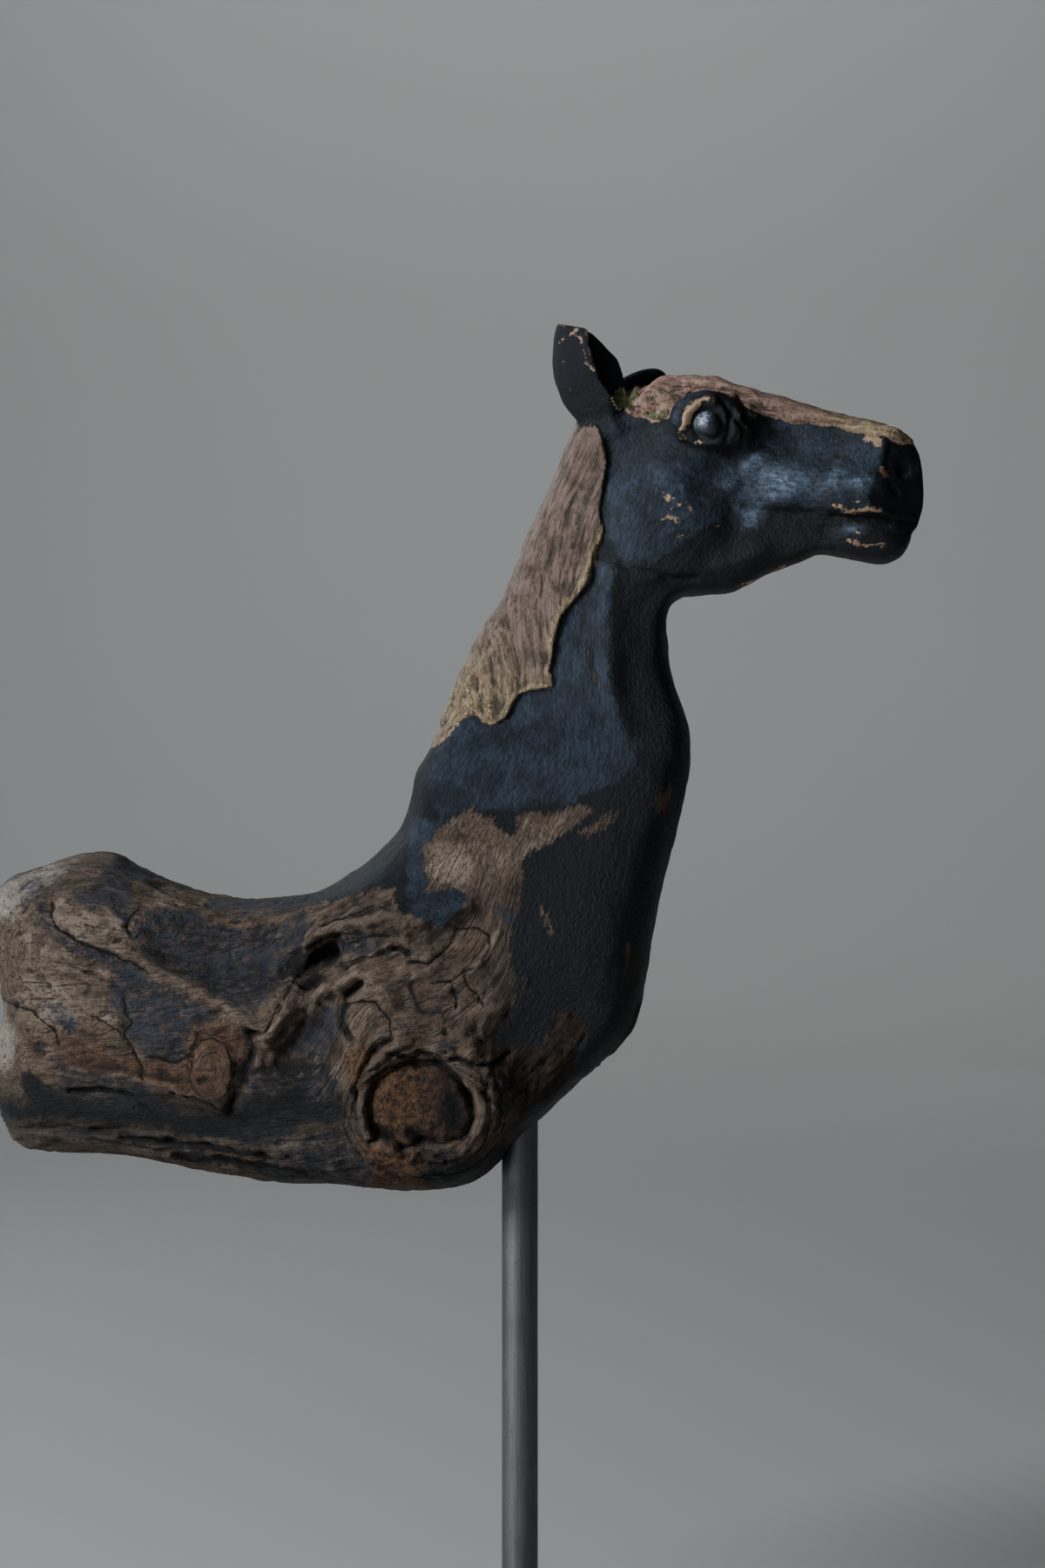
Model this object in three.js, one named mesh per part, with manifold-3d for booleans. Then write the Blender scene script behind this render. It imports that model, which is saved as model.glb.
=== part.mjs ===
// A horse's head, neck and breast carved from the end of a driftwood log, held up on a steel rod
// that stands on a flat steel plate.
// Millimetres, +Z up. The horse looks along +X and its near side faces -Y.
// The origin is on the plate's underside, straight below the rod.

import * as THREE from 'three';
import Module from 'manifold-3d';
import { mergeVertices } from 'three/addons/utils/BufferGeometryUtils.js';

const wasm = await Module();
wasm.setup();

// Driving dimensions of the stand
const PLATE_WIDTH = 160;
const PLATE_THICKNESS = 10;
const PLATE_CORNER_RADIUS = 4;
const PLATE_CHAMFER = 1;
const ROD_RADIUS = 6;
const ROD_CHAMFER = 0.8;
const ROD_TOP = 226;
const ROD_SIDES = 40;
const FIT_GAP = 0.3;
const WELD_WIDTH = 3.6;
const WELD_HEIGHT = 3.2;

// Outline of the wood seen from the near side, as [x, z], from the poll round by the muzzle.
// The ears stand outside it.
const OUTLINE = {
  poll: [[20, 433], [27, 437], [34, 440], [40.5, 442], [45, 444.5]],
  forehead: [[51.5, 446], [59, 446.5], [64.5, 446], [70.5, 444]],
  nose: [[79, 441.5], [88, 439], [96.5, 436.5], [105.5, 434], [114, 432], [121, 430.5]],
  nostrils: [[127, 428], [131, 423.5], [133, 418], [133.8, 410], [133.5, 401]],
  lips: [[132, 396.5], [130, 394], [129.5, 391], [127, 387], [122.5, 384.5], [117, 384.5]],
  chin: [[111, 385.5], [105, 386.7], [99.5, 387.3]],
  jaw: [[94, 385.3], [89.5, 383.5], [82, 380.5], [76, 377.3], [70.5, 375], [62, 373.8]],
  throat: [[54.5, 373.3], [51, 371.5], [49, 367.5], [48.8, 360.5]],
  gullet: [[50, 350], [53, 340], [55.7, 332], [56.7, 325], [56.3, 315.5]],
  breast: [[53.5, 301], [49, 283.5], [44.5, 262], [41.5, 243], [40, 236.5]],
  brisket: [[37.5, 229.5], [33.5, 224], [27.5, 218.3], [17, 209.5], [6, 199]],
  elbow: [[1, 195], [-3.5, 190], [-6.5, 185.5], [-10.5, 182], [-16.5, 178.3]],
  belly: [[-25, 176.7], [-37, 176], [-48.5, 176.8], [-60, 178], [-77.5, 178.3], [-95, 180.5]],
  under_end: [[-112, 183.5], [-129.5, 186.7], [-143, 187.6], [-155.5, 187.8], [-164.5, 189]],
  broken_end: [
    [-169.5, 192], [-172.5, 197.5], [-174.5, 203.5], [-175.5, 215.5], [-175, 227], [-172.3, 235.5],
    [-174, 244.5], [-176, 256], [-176.5, 267], [-175, 275.5], [-171, 279.7],
  ],
  rump: [[-164.5, 282.5], [-155.5, 285.2], [-147, 287.8], [-138.5, 288.3], [-134, 287.4]],
  back: [[-129.5, 284.7], [-121, 280.3], [-112, 277], [-103.5, 274.3], [-94, 273.2], [-86, 273]],
  withers: [[-74.5, 273.8], [-67.5, 275], [-59.5, 279], [-51.5, 284.3], [-42.5, 292.5], [-39.5, 296.5]],
  neck_foot: [[-36.5, 305], [-34.5, 314], [-30, 322.5], [-26, 331.3]],
  crest: [
    [-22.5, 340], [-15.5, 357.3], [-10, 366], [-5, 375], [2, 392.2], [10, 409.6], [14, 418.3],
    [17.5, 427],
  ],
};

// Half depth of the wood, how wide its edge is rounded over, and how far its middle leans to +Y,
// at places on the outline's plane. Each place counts over its own reach.
const DEPTHS = [
  { part: 'poll', x: 30, z: 426, depth: 12.5, round: 11, lean: 0, reach: 9 },
  { part: 'forehead', x: 58, z: 438, depth: 15.5, round: 9, lean: 0, reach: 10 },
  { part: 'cheek', x: 48, z: 402, depth: 17.5, round: 16, lean: 0, reach: 12 },
  { part: 'jaw', x: 60, z: 383, depth: 12, round: 12, lean: 0, reach: 10 },
  { part: 'face', x: 85, z: 416, depth: 14, round: 12, lean: -1, reach: 11 },
  { part: 'nose_bridge', x: 98, z: 430, depth: 9.5, round: 8, lean: -1, reach: 9 },
  { part: 'bars', x: 88, z: 392, depth: 10, round: 11, lean: -1, reach: 9 },
  { part: 'muzzle', x: 116, z: 412, depth: 12.8, round: 9, lean: -2, reach: 9 },
  { part: 'lips', x: 116, z: 391, depth: 9.8, round: 7, lean: -2, reach: 8 },
  { part: 'throat', x: 34, z: 376, depth: 14.5, round: 17, lean: 0, reach: 12 },
  { part: 'nape', x: 14, z: 396, depth: 12, round: 14, lean: 0, reach: 12 },
  { part: 'neck', x: 24, z: 350, depth: 19, round: 22, lean: 0, reach: 15 },
  { part: 'crest', x: -10, z: 350, depth: 13, round: 15, lean: 0, reach: 13 },
  { part: 'neck_foot', x: 20, z: 318, depth: 26, round: 28, lean: 0, reach: 17 },
  { part: 'withers', x: -22, z: 314, depth: 23, round: 24, lean: 0, reach: 15 },
  { part: 'breast', x: 28, z: 275, depth: 33, round: 34, lean: 0, reach: 20 },
  { part: 'shoulder', x: -18, z: 268, depth: 38, round: 36, lean: 0, reach: 20 },
  { part: 'brisket', x: 16, z: 222, depth: 26, round: 26, lean: 0, reach: 15 },
  { part: 'elbow', x: -30, z: 206, depth: 39, round: 30, lean: 0, reach: 18 },
  { part: 'barrel', x: -78, z: 220, depth: 42, round: 36, lean: 2, reach: 22 },
  { part: 'saddle', x: -86, z: 256, depth: 35, round: 34, lean: 3, reach: 16 },
  { part: 'rump', x: -132, z: 262, depth: 38, round: 30, lean: 8, reach: 20 },
  { part: 'flank', x: -132, z: 212, depth: 40, round: 32, lean: 8, reach: 20 },
  { part: 'broken_end', x: -168, z: 236, depth: 36, round: 20, lean: 13, reach: 18 },
];

// Swellings and hollows on the sides: centre, half length, half height, tilt in degrees and rise.
const NEAR = -1;
const FAR = 1;
const BOTH = 0;
const DOMES = [
  { part: 'brow', side: BOTH, x: 64, z: 430.5, long: 19, high: 12.5, tilt: -12, rise: 6.6 },
  { part: 'eyeball', side: BOTH, x: 60.8, z: 428.6, long: 6.6, high: 6.6, tilt: 0, rise: 3.6 },
  { part: 'temple', side: BOTH, x: 42, z: 436, long: 12, high: 8, tilt: 20, rise: 1.8 },
  { part: 'jowl', side: BOTH, x: 46, z: 400, long: 26, high: 24, tilt: 0, rise: 2.2 },
  { part: 'face_hollow', side: BOTH, x: 84, z: 424, long: 14, high: 8, tilt: -14, rise: -1.6 },
  { part: 'upper_lip', side: BOTH, x: 112, z: 405, long: 15, high: 9, tilt: 0, rise: 1.4 },
  { part: 'lower_lip', side: BOTH, x: 113, z: 391.5, long: 13, high: 6.5, tilt: 0, rise: 2.2 },
  { part: 'knot_core', side: NEAR, x: -31, z: 207, long: 15, high: 13, tilt: 0, rise: -2 },
  { part: 'small_knot', side: NEAR, x: -100, z: 220.5, long: 9.5, high: 11, tilt: 10, rise: 3 },
  { part: 'rotten_hollow', side: NEAR, x: -67, z: 253, long: 15, high: 8, tilt: 33, rise: -6.5 },
  { part: 'saddle', side: NEAR, x: -93, z: 257, long: 38, high: 17, tilt: -6, rise: -6 },
  { part: 'bark_step', side: NEAR, x: -46, z: 234, long: 17, high: 21, tilt: 12, rise: 2.4 },
  { part: 'dark_panel', side: NEAR, x: -68, z: 224, long: 17, high: 16, tilt: 20, rise: -3.2 },
  { part: 'rump', side: NEAR, x: -150, z: 262, long: 26, high: 17, tilt: 35, rise: 3 },
  { part: 'far_knot', side: FAR, x: -58, z: 228, long: 20, high: 18, tilt: 15, rise: 4.5 },
  { part: 'far_hollow', side: FAR, x: -112, z: 238, long: 32, high: 15, tilt: -12, rise: -5 },
  { part: 'far_flank', side: FAR, x: -146, z: 216, long: 24, high: 17, tilt: 20, rise: 3 },
];

// Ridges and furrows along the sides: the line, its half width and its rise.
const RIDGES = [
  { part: 'mouth', side: BOTH, line: [[101, 399.5], [110, 399], [120, 398], [133, 397]], wide: 2.8, rise: -2.6 },
  { part: 'eyelid', side: BOTH, line: [[52.5, 424], [53, 432], [57, 437], [64, 438]], wide: 2.8, rise: 1.8 },
  { part: 'cheekbone', side: BOTH, line: [[72, 414], [82, 411], [96, 411]], wide: 4, rise: 1.2 },
  { part: 'jaw_edge', side: BOTH, line: [[31, 382], [46, 380], [62, 381], [80, 387]], wide: 4, rise: 1.6 },
  { part: 'jaw_back', side: BOTH, line: [[30, 420], [29, 400], [31, 384]], wide: 4, rise: -1.2 },
  { part: 'neck_edge', side: BOTH, line: [[31, 378], [30, 352], [34, 326]], wide: 7, rise: 1.8 },
  { part: 'shoulder', side: BOTH, line: [[30, 318], [24, 290], [16, 262]], wide: 11, rise: 2 },
  {
    part: 'collar', side: NEAR, wide: 4.2, rise: 4.2,
    line: [[-82, 229], [-76, 239], [-72, 250], [-66, 260], [-54, 268], [-36, 267], [-18, 272]],
  },
  { part: 'branch', side: NEAR, line: [[-80, 236], [-66, 245], [-50, 252], [-30, 253]], wide: 5, rise: 2.8 },
  {
    part: 'saddle_edge', side: NEAR, wide: 3.6, rise: 3.2,
    line: [[-151, 268], [-143, 260], [-126, 254], [-112, 248], [-98, 241], [-84, 231]],
  },
  { part: 'rump_groove', side: NEAR, line: [[-154, 273], [-150, 265], [-140, 258], [-124, 252]], wide: 2.6, rise: -2.6 },
  { part: 'flank_step', side: NEAR, line: [[-170, 220], [-148, 217], [-128, 213], [-108, 211], [-94, 206]], wide: 3, rise: 2.2 },
  { part: 'gully', side: NEAR, line: [[-172, 203], [-148, 206], [-120, 203], [-90, 200], [-60, 203]], wide: 6, rise: -4.2 },
  { part: 'belly_lip', side: NEAR, line: [[-165, 195], [-130, 193], [-100, 188], [-62, 185]], wide: 3, rise: 2.2 },
  { part: 'far_ridge', side: FAR, line: [[-160, 256], [-124, 258], [-88, 246], [-50, 250], [-14, 240]], wide: 5, rise: 4 },
  { part: 'far_gully', side: FAR, line: [[-164, 208], [-124, 205], [-84, 200], [-48, 204]], wide: 5, rise: -3.8 },
];

// The knot's collar is a ring round its core on the near side.
const KNOT = { x: -31, z: 207, radius: 21, wide: 5, rise: 4.2 };

// Each mane hangs over its side of the neck with a stepped edge.
const MANE = {
  edge: [
    [14, 434], [22, 432], [27, 424], [28.5, 414], [26, 404], [26, 396], [24, 388], [22, 376],
    [14, 366], [10, 358], [9, 348], [10.5, 342], [2, 340.5], [-3, 335], [-8, 331.5], [-14, 333],
    [-22, 334], [-40, 322], [-40, 345], [0, 425],
  ],
  rise: 1.9,
  step: 5,
};

// The chamfer on each side of the nose end, and the nostril hollowed out of it.
const NOSE_END = { x: 119.5, half_depth: 12.6, slope: 0.66, blend: 1.6 };
const NOSTRIL = { x: 127.5, z: 415.5, half_depth: 8.5, radii: [3.4, 3, 3], blend: 1.2 };

const EARS = [
  { part: 'near_ear', base: [27, -8.5, 432], tip: [17.5, -11.5, 463], opening: [0.8, -0.6, 0.1], half_width: 9.4 },
  { part: 'far_ear', base: [30, 9, 433], tip: [49, 17, 449], opening: [0.35, 0.3, -0.9], half_width: 7 },
];
const EAR_DEPTH_RATIO = 1.28;
const EAR_HOLLOW = { width: 0.7, depth: 0.8, offset: 1.05, height: 0.42, middle: 0.5 };
const EAR_BLEND = 3;

// The measuring grid over the outline, and the net that the surface is drawn on
const PLAN_STEP = 1.5;
const PLAN_MARGIN = 6;
const OUTLINE_STEPS = 420;
const RELAX_ROUNDS = 700;
const RELAX_GAIN = 1.88;
const EDGE_FADE = 9;
const NET_X = [[-182, -2, 3.2], [-2, 141, 2]];
const NET_Y = [[-42, 42, 3]];
const NET_Z = [[170, 296, 3.2], [296, 372, 3], [372, 468, 2]];
const NET_WIDENING = { low: 296, high: 384, below: 1.28, above: 0.72 };

// How many triangles the wood keeps, and how the facets are chosen
const WOOD_TRIANGLES = 8600;
const PASS_SHARE = 0.2;
const LENGTH_COST = 0.002;
const LEAST_TURN = 0.35;

const clamp = (value, low, high) => Math.min(high, Math.max(low, value));
const smooth = (t) => t * t * (3 - 2 * t);

function smoothMin(a, b, blend) {
  const h = Math.max(blend - Math.abs(a - b), 0) / blend;
  return Math.min(a, b) - h * h * blend * 0.25;
}

const smoothMax = (a, b, blend) => -smoothMin(-a, -b, blend);

function outlinePoints() {
  const knots = Object.values(OUTLINE).flat().map(([x, z]) => new THREE.Vector3(x, 0, z));
  const curve = new THREE.CatmullRomCurve3(knots, true, 'centripetal');
  return curve.getPoints(OUTLINE_STEPS).slice(0, -1).map((p) => [p.x, p.z]);
}

function distanceToLine(x, z, line, closed = false) {
  let best = Infinity;
  const last = closed ? line.length : line.length - 1;
  for (let i = 0; i < last; i++) {
    const [ax, az] = line[i];
    const [bx, bz] = line[(i + 1) % line.length];
    const t = clamp(((x - ax) * (bx - ax) + (z - az) * (bz - az)) / ((bx - ax) ** 2 + (bz - az) ** 2), 0, 1);
    best = Math.min(best, Math.hypot(x - ax - t * (bx - ax), z - az - t * (bz - az)));
  }
  return best;
}

function isInside(x, z, loop) {
  let inside = false;
  for (let i = 0, j = loop.length - 1; i < loop.length; j = i++) {
    const [ax, az] = loop[i];
    const [bx, bz] = loop[j];
    if (az > z !== bz > z && x < ((bx - ax) * (z - az)) / (bz - az) + ax) inside = !inside;
  }
  return inside;
}

// Distance to a closed line, positive inside it.
function depthInside(x, z, loop) {
  const distance = distanceToLine(x, z, loop, true);
  return isInside(x, z, loop) ? distance : -distance;
}

// A grid of numbers over the outline's plane, read between its nodes.
class Plan {
  constructor(low, high) {
    this.low = low;
    this.columns = Math.ceil((high[0] - low[0]) / PLAN_STEP) + 1;
    this.rows = Math.ceil((high[1] - low[1]) / PLAN_STEP) + 1;
  }

  fill(worth) {
    const values = new Float64Array(this.columns * this.rows);
    for (let row = 0; row < this.rows; row++) {
      for (let column = 0; column < this.columns; column++) {
        const x = this.low[0] + column * PLAN_STEP;
        const z = this.low[1] + row * PLAN_STEP;
        values[row * this.columns + column] = worth(x, z, row * this.columns + column);
      }
    }
    return values;
  }

  read(values, x, z) {
    const across = clamp((x - this.low[0]) / PLAN_STEP, 0, this.columns - 1.001);
    const up = clamp((z - this.low[1]) / PLAN_STEP, 0, this.rows - 1.001);
    const i = Math.floor(up) * this.columns + Math.floor(across);
    const s = across % 1;
    const t = up % 1;
    const below = values[i] * (1 - s) + values[i + 1] * s;
    const above = values[i + this.columns] * (1 - s) + values[i + this.columns + 1] * s;
    return below * (1 - t) + above * t;
  }
}

// How a skin stretched over the outline bulges when blown up: the height is the root of twice this.
function bulge(plan, inside) {
  const values = new Float64Array(inside.length);
  const around = [-1, 1, -plan.columns, plan.columns];
  for (let round = 0; round < RELAX_ROUNDS; round++) {
    for (let i = 0; i < values.length; i++) {
      if (inside[i] <= 0) continue;
      let sum = PLAN_STEP ** 2;
      let share = 4;
      for (const offset of around) {
        if (inside[i + offset] > 0) {
          sum += values[i + offset];
        } else {
          const reach = clamp(inside[i] / (inside[i] - inside[i + offset]), 0.15, 1);
          share += (1 - reach) / reach;
        }
      }
      values[i] += RELAX_GAIN * (sum / share - values[i]);
    }
  }
  return values;
}

function sectionAt(x, z) {
  const sum = { weight: 0, depth: 0, round: 0, lean: 0 };
  for (const place of DEPTHS) {
    const weight = Math.exp(-((x - place.x) ** 2 + (z - place.z) ** 2) / (2 * place.reach ** 2)) + 1e-9;
    sum.weight += weight;
    for (const key of ['depth', 'round', 'lean']) sum[key] += weight * place[key];
  }
  return { depth: sum.depth / sum.weight, round: sum.round / sum.weight, lean: sum.lean / sum.weight };
}

function domeRise(dome, x, z) {
  const turn = THREE.MathUtils.degToRad(dome.tilt);
  const along = (x - dome.x) * Math.cos(turn) + (z - dome.z) * Math.sin(turn);
  const across = (z - dome.z) * Math.cos(turn) - (x - dome.x) * Math.sin(turn);
  const rest = Math.max(0, 1 - (along / dome.long) ** 2 - (across / dome.high) ** 2);
  return dome.rise * smooth(rest);
}

function ridgeRise(ridge, x, z) {
  return ridge.rise * Math.exp(-((distanceToLine(x, z, ridge.line) / ridge.wide) ** 2));
}

function knotRise(x, z) {
  const radius = Math.hypot(x - KNOT.x, z - KNOT.z);
  return KNOT.rise * Math.exp(-(((radius - KNOT.radius) / KNOT.wide) ** 2));
}

function maneRise(x, z) {
  return MANE.rise * smooth(clamp(depthInside(x, z, MANE.edge) / MANE.step + 0.5, 0, 1));
}

function reliefAt(side, x, z) {
  const faces = (feature) => feature.side === BOTH || feature.side === side;
  let rise = maneRise(x, z) + (side === NEAR ? knotRise(x, z) : 0);
  for (const dome of DOMES) if (faces(dome)) rise += domeRise(dome, x, z);
  for (const ridge of RIDGES) if (faces(ridge)) rise += ridgeRise(ridge, x, z);
  return rise;
}

// The squared half depth of each side over the outline's plane, negative outside the outline.
function sideDepths(plan, inside, blown, side) {
  return plan.fill((x, z, i) => {
    const section = sectionAt(x, z);
    if (inside[i] <= 0) return ((inside[i] * 2 * section.depth ** 2) / section.round ** 2) * section.round;
    const rounded = Math.sqrt(2 * blown[i]) / section.round;
    const half = (section.depth * rounded) / (1 + rounded ** 4) ** 0.25;
    const fade = clamp(inside[i] / EDGE_FADE, 0, 1);
    return Math.max(0.2, half + reliefAt(side, x, z) * smooth(fade)) ** 2;
  });
}

function earField(ear) {
  const base = new THREE.Vector3(...ear.base);
  const axis = new THREE.Vector3(...ear.tip).sub(base);
  const length = axis.length();
  axis.normalize();
  const opening = new THREE.Vector3(...ear.opening);
  opening.addScaledVector(axis, -opening.dot(axis)).normalize();
  const sideways = new THREE.Vector3().crossVectors(axis, opening);
  const point = new THREE.Vector3();
  return (x, y, z) => {
    point.set(x, y, z).sub(base);
    const along = point.dot(axis) / length;
    const held = clamp(along, 0, 1);
    const swell = 0.6 + 1.9 * held - 2.6 * held ** 2 + 0.45 * held ** 3;
    const width = ear.half_width * swell;
    const depth = width * EAR_DEPTH_RATIO;
    const across = point.dot(sideways);
    const forward = point.dot(opening);
    const shell = (Math.hypot(across / width, forward / depth) - 1) * width;
    const ends = Math.max(-0.2 - along, along - 1) * length;
    const hollow =
      (Math.hypot(
        across / (width * EAR_HOLLOW.width),
        (forward - depth * EAR_HOLLOW.offset) / (depth * EAR_HOLLOW.depth),
        (along - EAR_HOLLOW.middle) / EAR_HOLLOW.height,
      ) - 1) * width * EAR_HOLLOW.width;
    return smoothMax(smoothMax(shell, ends, 3), -hollow, 1.2);
  };
}

// Signed distance to the wood's surface, near enough to it, negative inside.
function woodField() {
  const loop = outlinePoints();
  const xs = loop.map((p) => p[0]);
  const zs = loop.map((p) => p[1]);
  const plan = new Plan(
    [Math.min(...xs) - PLAN_MARGIN, Math.min(...zs) - PLAN_MARGIN],
    [Math.max(...xs) + PLAN_MARGIN, Math.max(...zs) + PLAN_MARGIN],
  );
  const inside = plan.fill((x, z) => depthInside(x, z, loop));
  const blown = bulge(plan, inside);
  const lean = plan.fill((x, z) => sectionAt(x, z).lean);
  const near = sideDepths(plan, inside, blown, NEAR);
  const far = sideDepths(plan, inside, blown, FAR);
  const ears = EARS.map(earField);

  return (x, y, z) => {
    const sideways = y - plan.read(lean, x, z);
    const squares = sideways < 0 ? near : far;
    const here = plan.read(squares, x, z);
    const slopeX = plan.read(squares, x + PLAN_STEP, z) - plan.read(squares, x - PLAN_STEP, z);
    const slopeZ = plan.read(squares, x, z + PLAN_STEP) - plan.read(squares, x, z - PLAN_STEP);
    const slope = Math.hypot(2 * sideways, slopeX / (2 * PLAN_STEP), slopeZ / (2 * PLAN_STEP), 1);
    let distance = (sideways ** 2 - here) / slope;

    if (x > NOSE_END.x - NOSE_END.half_depth) {
      const beyond = (x - NOSE_END.x) * NOSE_END.slope + Math.abs(sideways) - NOSE_END.half_depth;
      distance = smoothMax(distance, beyond / Math.hypot(NOSE_END.slope, 1), NOSE_END.blend);
      const nostril = new THREE.Vector3(
        (x - NOSTRIL.x) / NOSTRIL.radii[0],
        (Math.abs(sideways) - NOSTRIL.half_depth) / NOSTRIL.radii[1],
        (z - NOSTRIL.z) / NOSTRIL.radii[2],
      );
      distance = smoothMax(distance, (1 - nostril.length()) * NOSTRIL.radii[1], NOSTRIL.blend);
    }
    if (z > EARS[0].base[2] - 15 && x < EARS[1].tip[0] + 15) {
      for (const ear of ears) distance = smoothMin(distance, ear(x, y, z), EAR_BLEND);
    }
    return distance;
  };
}

// The net is wider across the log than across the head.
function widening(z) {
  const { low, high, below, above } = NET_WIDENING;
  return below + (above - below) * smooth(clamp((z - low) / (high - low), 0, 1));
}

function netStops(spans) {
  const stops = [];
  for (const [from, to, step] of spans) {
    const count = Math.round((to - from) / step);
    for (let i = 0; i < count; i++) stops.push(from + ((to - from) * i) / count);
  }
  stops.push(spans[spans.length - 1][1]);
  return stops;
}

// Draws the surface where the field is zero: one vertex in each net cell that the surface crosses,
// and two triangles for each net edge that it crosses.
function drawSurface(wood) {
  const field = (x, y, z) => wood(x, y * widening(z), z);
  const stops = [netStops(NET_X), netStops(NET_Y), netStops(NET_Z)];
  const size = stops.map((s) => s.length);
  const stride = [1, size[0], size[0] * size[1]];
  const values = new Float64Array(size[0] * size[1] * size[2]);
  const at = (i, j, k) => i + j * stride[1] + k * stride[2];
  for (let k = 0; k < size[2]; k++) {
    for (let j = 0; j < size[1]; j++) {
      for (let i = 0; i < size[0]; i++) {
        values[at(i, j, k)] = field(stops[0][i], stops[1][j], stops[2][k]);
      }
    }
  }

  untangle(values, stride);
  const vertexOf = new Map();
  const positions = [];
  for (let k = 0; k + 1 < size[2]; k++) {
    for (let j = 0; j + 1 < size[1]; j++) {
      for (let i = 0; i + 1 < size[0]; i++) {
        const point = crossingCentre(stops, values, stride, [i, j, k]);
        if (!point) continue;
        settle(point, field, stops, [i, j, k]);
        vertexOf.set(at(i, j, k), positions.length / 3);
        positions.push(...point);
      }
    }
  }

  const triangles = [];
  for (let axis = 0; axis < 3; axis++) {
    const u = stride[(axis + 1) % 3];
    const v = stride[(axis + 2) % 3];
    for (let start = 0; start + stride[axis] < values.length; start++) {
      const rises = values[start] < 0;
      if (rises === values[start + stride[axis]] < 0) continue;
      const corners = [start - u - v, start - v, start, start - u].map((cell) => vertexOf.get(cell));
      if (corners.includes(undefined)) continue;
      const [a, b, c, d] = rises ? corners : corners.reverse();
      triangles.push(...splitQuad(positions, a, b, c, d));
    }
  }
  for (let i = 0; i < positions.length; i += 3) positions[i + 1] *= widening(positions[i + 2]);
  return { positions, triangles };
}

// Where two opposite corners of a net square are inside and the other two outside, the surface
// would cross itself, so the shallower inside corner is moved out.
function untangle(values, stride) {
  let tangled = true;
  while (tangled) {
    tangled = false;
    for (const [u, v] of [[stride[0], stride[1]], [stride[1], stride[2]], [stride[2], stride[0]]]) {
      for (let a = 0; a + u + v < values.length; a++) {
        const inside = [a, a + u, a + u + v, a + v].map((i) => values[i] < 0);
        if (inside[0] !== inside[2] || inside[1] !== inside[3] || inside[0] === inside[1]) continue;
        const [p, q] = inside[0] ? [a, a + u + v] : [a + u, a + v];
        values[values[p] > values[q] ? p : q] = 0.05;
        tangled = true;
      }
    }
  }
}

function crossingCentre(stops, values, stride, cell) {
  const sum = [0, 0, 0];
  let count = 0;
  for (let axis = 0; axis < 3; axis++) {
    for (let corner = 0; corner < 8; corner++) {
      if (corner & (1 << axis)) continue;
      const from = cell.map((c, d) => c + ((corner >> d) & 1));
      const index = from[0] * stride[0] + from[1] * stride[1] + from[2] * stride[2];
      const a = values[index];
      const b = values[index + stride[axis]];
      if (a < 0 === b < 0) continue;
      const t = a / (a - b);
      for (let d = 0; d < 3; d++) {
        const span = d === axis ? t * (stops[d][from[d] + 1] - stops[d][from[d]]) : 0;
        sum[d] += stops[d][from[d]] + span;
      }
      count++;
    }
  }
  return count ? sum.map((s) => s / count) : null;
}

// Moves a vertex on to the surface without leaving its net cell.
function settle(point, field, stops, cell) {
  const probe = 0.4;
  for (let round = 0; round < 3; round++) {
    const here = field(...point);
    const slope = [0, 1, 2].map((d) => {
      const ahead = point.slice();
      ahead[d] += probe;
      return (field(...ahead) - here) / probe;
    });
    const steep = Math.max(slope.reduce((s, g) => s + g * g, 0), 0.2);
    for (let d = 0; d < 3; d++) {
      const low = stops[d][cell[d]];
      const high = stops[d][cell[d] + 1];
      const edge = 0.06 * (high - low);
      point[d] = clamp(point[d] - (here * slope[d]) / steep, low + edge, high - edge);
    }
  }
}

function splitQuad(positions, a, b, c, d) {
  const vector = (i) => new THREE.Vector3().fromArray(positions, 3 * i);
  const even = vector(a).distanceTo(vector(c)) <= vector(b).distanceTo(vector(d));
  return even ? [a, b, c, a, c, d] : [a, b, d, b, c, d];
}

// What a point costs against a sum of planes: the area times the square of its distance to each.
function addPlane(quadric, normal, offset, area) {
  const plane = [normal.x, normal.y, normal.z, offset];
  let n = 0;
  for (let i = 0; i < 4; i++) {
    for (let j = i; j < 4; j++) quadric[n++] += area * plane[i] * plane[j];
  }
}

function planeCost(q, { x, y, z }) {
  const squares = q[0] * x * x + q[4] * y * y + q[7] * z * z + q[9];
  return squares + 2 * (q[1] * x * y + q[2] * x * z + q[3] * x + q[5] * y * z + q[6] * y + q[8] * z);
}

// The cheapest point for an edge to shrink to: where its planes meet, or else one along the edge.
function meetingPoint(q, a, b) {
  const matrix = new THREE.Matrix3().set(q[0], q[1], q[2], q[1], q[4], q[5], q[2], q[5], q[7]);
  const middle = a.clone().add(b).multiplyScalar(0.5);
  const choices = [a, b, middle];
  const size = Math.cbrt(Math.abs(matrix.determinant())) / (q[0] + q[4] + q[7] + 1e-12);
  if (size > 0.02) {
    const met = new THREE.Vector3(-q[3], -q[6], -q[8]).applyMatrix3(matrix.invert());
    if (met.distanceTo(middle) < a.distanceTo(b)) choices.push(met);
  }
  choices.sort((m, n) => planeCost(q, m) - planeCost(q, n));
  return choices[0].clone();
}

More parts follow.
